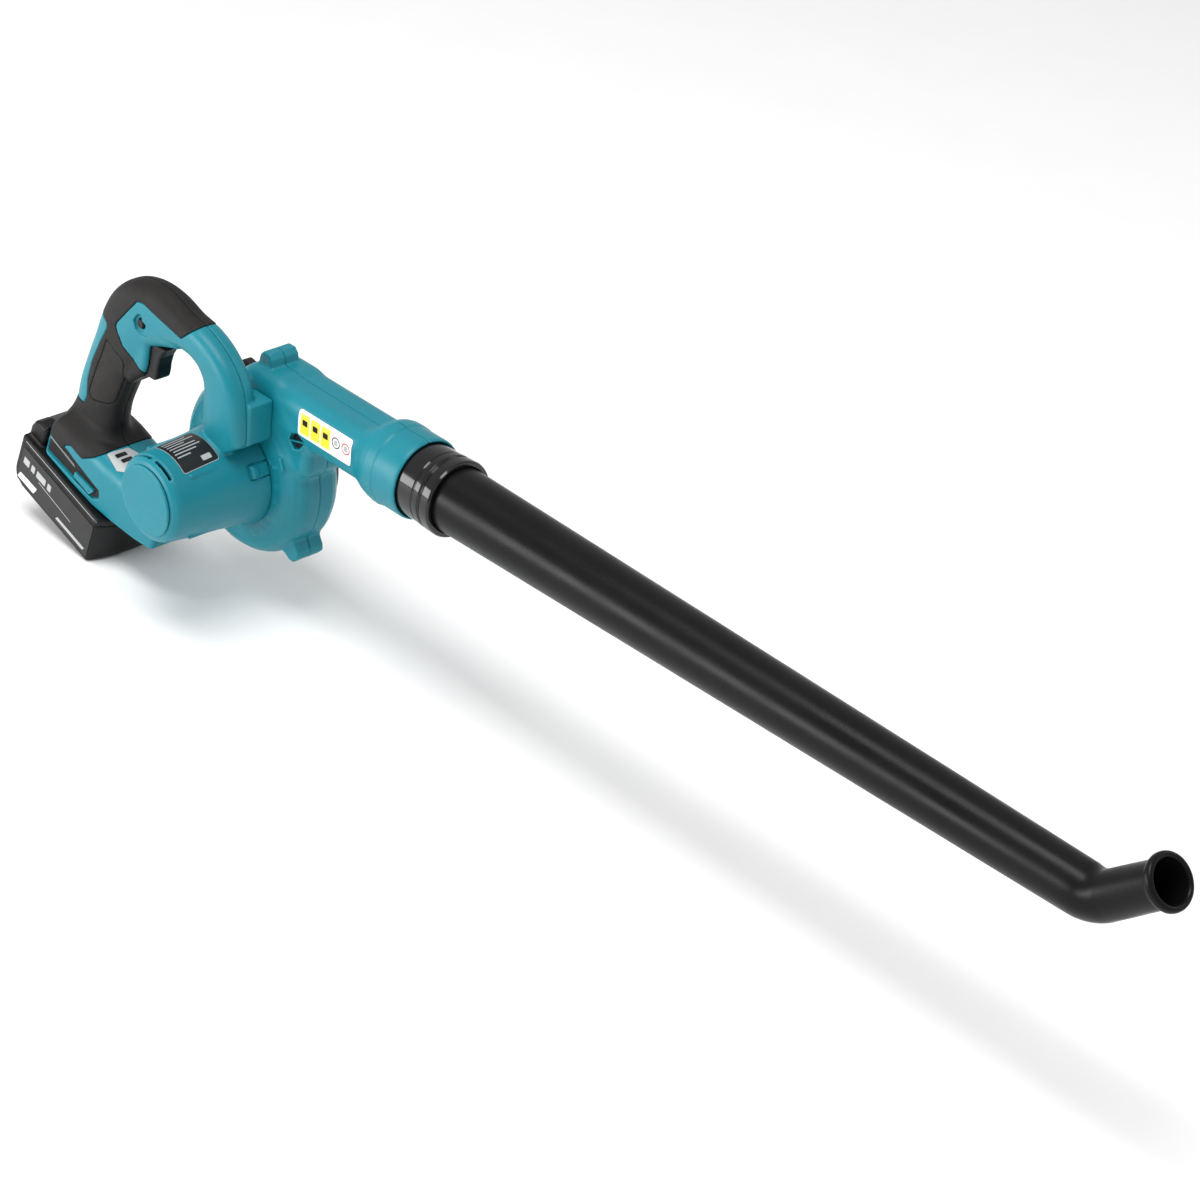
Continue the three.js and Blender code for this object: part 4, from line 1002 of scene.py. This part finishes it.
def tube_rings():
    """Centre x, centre z, direction and radius, along the outside and back through the bore."""
    start, corner, end = 228, 884.0, 70.0
    turn, sweep, wall = math.radians(40), 34.0, 2.0
    root, taper, bend_root, bend_taper = 27.6, 7.3, 20.15, 2.35
    bend = corner - sweep * math.tan(turn / 2)

    def straight(t, inset):
        return (start + (bend - 8 - start) * t, NOZZLE_Z, 0.0, root - inset - taper * t)

    def bent(t, inset):
        a = turn * t
        rise = sweep * (1 - math.cos(a))
        return (bend + sweep * math.sin(a), NOZZLE_Z + rise, a, bend_root - inset - bend_taper * t)

    def tip(far, r):
        return (corner + far * math.cos(turn), NOZZLE_Z + far * math.sin(turn), turn, r)

    rows = [straight(t, 0) for t in np.linspace(0, 1, 15)]
    rows += [bent(t, 0) for t in np.linspace(0, 1, 15)]
    rows += [tip(end - 30, 17.5), tip(end - 12, 17.25)]
    rows += [tip(end - 9.2, 17.3), tip(end - 8, 17.9), tip(end - 7.2, 19.2)]
    lip = [(-6.4, 20.3), (-5.2, 20.85), (-3.6, 21.0), (-2, 20.7), (-0.9, 20.1), (-0.2, 19.2), (0, 18.2),
           (-0.15, 17.3), (-0.8, 16.5), (-2, 16.0), (-4, 15.8)]
    rows += [tip(end + d, r) for d, r in lip]
    rows += [tip(end - 12, 15.2), tip(end - 30, 15.5)]
    rows += [bent(t, wall) for t in np.linspace(1, 0, 11)]
    rows += [straight(t, wall) for t in np.linspace(1, 0, 8)]
    return rows


def build_tube(segments=144):
    t = np.arange(segments) * 2 * math.pi / segments
    points = []
    for x, z, a, r in tube_rings():
        up = r * np.sin(t)
        points.append(np.stack([x - up * math.sin(a), r * np.cos(t), z + up * math.cos(a)], 1))
    count = len(points)
    faces = []
    for i in range(count):
        n = (i + 1) % count
        for k in range(segments):
            j = (k + 1) % segments
            faces.append((i * segments + k, i * segments + j, n * segments + j, n * segments + k))
    finished("nozzle_tube_shape", np.concatenate(points), faces, "nozzle", TUBE, ["nozzle_tube"],
             40)


build_tube()


# ---- battery pack --------------------------------------------------------------------------------
PACK_HALF = 37.5
FRONT = [(55.5 + 9 * (1 - (v / PACK_HALF) ** 2), v) for v in np.linspace(-36.5, 36.5, 17)]
PLAN = (rounded([(-56.5, PACK_HALF), (-56.5, -PACK_HALF), (54, -PACK_HALF)], [4, 4, 0])
        + FRONT + [(54, PACK_HALF)])
SIDE = rounded([(-42, -50), (54, -50), (62, -46), (66, -38), (67, 30), (-57, 30), (-57, -36), (-52, -46)],
               [6, 6, 6, 8, 0, 0, 8, 8])


def pack_shape(px, py, pz, inset=0.0):
    return common(polygon(px, py, PLAN), polygon(px, pz, SIDE), 3.0) + inset


def pack_lower(x, y, z):
    px, py, pz = pack_axes(x, y, z)
    outer = pack_shape(px, py, pz)
    out = common(outer, pz + 7.15, 0.8)
    out = np.maximum(out, -np.maximum(polygon(px, py, PLAN) + 3, polygon(px, pz, SIDE) + 2.25))
    for k in (-1, 1):
        pad = np.maximum(rounded_bar(px + 2, py - 20 * k, 40, 5, 2), -50.6 - pz)
        out = minus(out, np.maximum(pad, pz + 49.4), 0.3)
    return out


def pack_upper(x, y, z):
    px, py, pz = pack_axes(x, y, z)
    outer = pack_shape(px, py, pz)
    lid = common(common(outer, pz, 1.5), -6.85 - pz, 0.6)
    lid = np.maximum(lid, -np.maximum(outer + 2.2, pz + 2))
    rail = np.minimum(common(rounded_bar(px + 2.2, py, 47.7, 24, 2), slab(pz, -1, 9), 0.6),
                      common(rounded_bar(px + 2.2, py, 47.7, 27, 2), slab(pz, 8, 12), 0.8))
    rail = np.maximum(rail, px - 45.5)
    hump = rounded([(-56.3, -3), (-56.3, 8), (-53, 16), (-48, 19), (-38, 19.8), (-35.9, 17), (-35.9, -3)],
                   [0, 5, 4, 4, 2, 1.5, 0])
    back = common(polygon(px, pz, hump), np.abs(py) - 31, 3.5)
    out = np.minimum(union(lid, back, 1.5), rail)
    out = minus(out, np.maximum(np.maximum(slab(px, 8, 50), np.abs(py) - 10), slab(pz, 2, 16)), 0.5)
    out = minus(out, np.maximum(np.maximum(px + 44, np.abs(py) - 16.5), 3 - pz), 0.6)
    for k in (-1, 1):
        groove = np.maximum(np.maximum(slab(px, 14, 44), np.abs(py - 17 * k) - 1.2), 9 - pz)
        out = minus(out, groove, 0.4)
    return np.maximum(out, -np.maximum(np.maximum(slab(px, -34, 6), np.abs(py) - 20), slab(pz, -8, 9.5)))


carve("battery_tub", pack_lower, (-232, -92, -128), (-84, -12, -24), "pack", PACK,
      ["battery_case_lower"])
carve("battery_lid", pack_upper, (-222, -92, -86), (-84, -12, -20), "pack", PACK,
      ["battery_case_upper"])


def button_field(x, y, z):
    px, py, pz = pack_axes(x, y, z)
    side = rounded([(-55.6, 7.5), (-55.6, 9.4), (-52.8, 15.8), (-48, 18.6), (-44.5, 18.8), (-44.5, 7.5)],
                   [0.5, 3, 3, 3, 1, 0.5])
    out = common(polygon(px, pz, side), np.abs(py) - 15.9, 1.2)
    for k in range(4):
        out = minus(out, np.hypot(px + 55.4 - 1.6 * k, pz - 10.3 - 2.3 * k) - 0.6, 0.2)
    return np.maximum(out, -np.maximum(np.maximum(slab(px, -53, -47), np.abs(py) - 3), slab(pz, 7, 13.5)))


carve("battery_button_shape", button_field, (-218, -70, -62), (-186, -34, -20), "release_key", PACK_GREY,
      ["battery_button"], step=VOXEL * 0.7)


# ---- labels --------------------------------------------------------------------------------------
PACK_X = (math.cos(TILT), 0, -math.sin(TILT))
PACK_UP = (math.sin(TILT), 0, math.cos(TILT))
PACK_NEAR = (FOOT_ORIGIN[0], HANDLE_Y - 60, FOOT_ORIGIN[2])


def on_pack(x, y, z):
    return pack_shape(*pack_axes(x, y, z))


def pack_decal(name, outline, material, replaces=(), lift=0.52, thick=0.1):
    return decal(name, outline, PACK_NEAR, PACK_X, PACK_UP, (0, 1, 0), on_pack, "pack", material, replaces,
                 lift, thick, rings=6)


pack_decal("battery_label_face", strip(-50, -45, 54, -9, 2.5), DARK_PRINT, ["battery_label"], 0.3, 0.2)
PACK_BAR = rounded([(-49, -42.5), (-46.5, -36), (-22, -35), (-25, -42.5)], 0.8, 3)
pack_decal("battery_label_bar", dense(PACK_BAR), WHITE, (), 0.52, 0.12)
pack_decal("battery_label_line", dense([(-22, -26.2), (26, -28.8), (26, -29.4), (-22, -26.9)]), GREY_PRINT_AND_HIGHLIGHT)
pack_decal("battery_label_band", dense([(8, -41.5), (10, -38.2), (50, -38.2), (48, -41.5)]), GREY_PRINT_AND_HIGHLIGHT)
# A thin grey strip just under the lid's top edge: a painted highlight of that edge, not print.
pack_decal("battery_lid_painted_highlight", dense([(-49, -2.6), (55, -2.6), (55, -1.9), (-49, -1.9)]), GREY_PRINT_AND_HIGHLIGHT,
           lift=0.25)
for k, (low, high) in enumerate(((-46, -38), (-35, -30), (-27, -14), (-11, -6))):
    pack_decal("battery_label_block_%d" % k, strip(low, -24, high, -17, 0.8), GREY_PRINT_AND_HIGHLIGHT)


def duct_decal(name, outline, material, replaces=(), lift=0.52, thick=0.1, rings=2, hole=0.0):
    return decal(name, outline, NEAR_SIDE, (1, 0, 0), (0, 0, 1), (0, 1, 0), casing_body, "housing", material,
                 replaces, lift, thick, rings, hole)


duct_decal("duct_label_sheet", strip(75, 67, 140, 89.5, 2.5), WHITE, ["duct_label"], 0.3, 0.2, 10)
for k in range(3):
    left = 78 + 12.6 * k
    duct_decal("duct_label_block_%d" % k, strip(left, 69.5, left + 11, 87, 1), YELLOW, thick=0.12, rings=4)
    duct_decal("duct_label_mark_%d" % k, strip(left + 2.5, 77.5, left + 8.5, 82.5, 0.8, 1.5), DARK_PRINT,
               (), 0.66, 0.08, 3)
for k, ring_paint in enumerate((DARK_PRINT, RED)):
    left = 119.5 + 12 * k
    duct_decal("duct_label_ring_%d" % k, disc(left + 2, 79.5, 4.9), ring_paint, hole=0.8)
    duct_decal("duct_label_dot_%d" % k, strip(left, 77, left + 4, 82, 1.4, 1.5), GREY_PRINT_AND_HIGHLIGHT)


def barrel_decal(name, outline, material, replaces=(), lift=0.42, thick=0.08, rings=2):
    return decal(name, outline, (0, 0, 70), (1, 0, 0), (0, 1, 0), (0, 0, -1), barrel, "housing", material,
                 replaces, lift, thick, rings)


barrel_decal("rating_label_rim", strip(-14.4, -100.2, 24.9, -64.8, 2.4), GREY_PRINT_AND_HIGHLIGHT, (), 0.16, 0.1, 14)
barrel_decal("rating_label_sheet", strip(-14, -99.8, 24.5, -65.2, 2), DARK_PRINT, ["rating_label"],
             0.22, 0.2, 14)
for k, (low, high) in enumerate(((-97, -74), (-97, -69), (-97, -80), (-97, -72), (-96, -70), (-97, -76),
                                 (-97, -84))):
    left = -10.5 + 3.6 * k
    barrel_decal("rating_label_bar_%d" % k, strip(left, low, left + 1.1, high, 0.3, 2), GREY_PRINT_AND_HIGHLIGHT)
barrel_decal("rating_label_block", strip(17.5, -79, 21.8, -70, 0.8, 2), GREY_PRINT_AND_HIGHLIGHT)

# A start above the foot's top, out along the pack's upward axis.
ABOVE = 70
FOOT_TOP = (FOOT_ORIGIN[0] + ABOVE * math.sin(TILT), HANDLE_Y, FOOT_ORIGIN[2] + ABOVE * math.cos(TILT))
HEXAGON = dense(rounded([(31.5, -23), (33, -2.5), (43.5, 1.5), (55, -7.5), (55.2, -22.5), (50, -25.5)],
                        1.2, 3), 2)


def foot_decal(name, outline, material, replaces=(), lift=0.42, thick=0.08):
    down = tuple(-c for c in PACK_UP)
    return decal(name, outline, FOOT_TOP, PACK_X, (0, 1, 0), down, handle_body, "housing", material, replaces,
                 lift, thick, rings=8)


foot_decal("foot_label_sheet", HEXAGON, GREY_PRINT_AND_HIGHLIGHT, ["foot_label"], 0.2, 0.2)
foot_decal("foot_label_bar_a", strip(36, -19, 40.5, -8, 1, 2), DARK_PRINT)
foot_decal("foot_label_bar_b", strip(43, -18, 47.5, -7, 1, 2), DARK_PRINT)


def recess_floor(x, y, z):
    return -29.5 - (y - HANDLE_Y)


def recess_decal(name, outline, radius, material, lift, thick):
    return decal(name, dense(rounded(outline, radius)), PACK_NEAR, PACK_X, PACK_UP, (0, 1, 0), recess_floor,
                 "housing", material, (), lift, thick, rings=4)


recess_decal("strap_slot_liner", [(-30, 22.2), (-12, 23.2), (-6, 26), (41.2, 20.2), (43, 13.2), (36.6, 8),
                                  (-28.4, 5)], 2, RUBBER, 0.05, 0.8)
recess_decal("strap_slot_band", [(-29.5, 20.6), (6, 18.4), (8, 16.6), (-29, 18.6)], 0.5, GREY, 0.86, 0.9)
recess_decal("strap_slot_bar", [(10.5, 14.5), (10.5, 9.2), (33, 8.8), (37.6, 16.4)], 1.2, TEAL, 0.86, 2.4)

low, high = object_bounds()
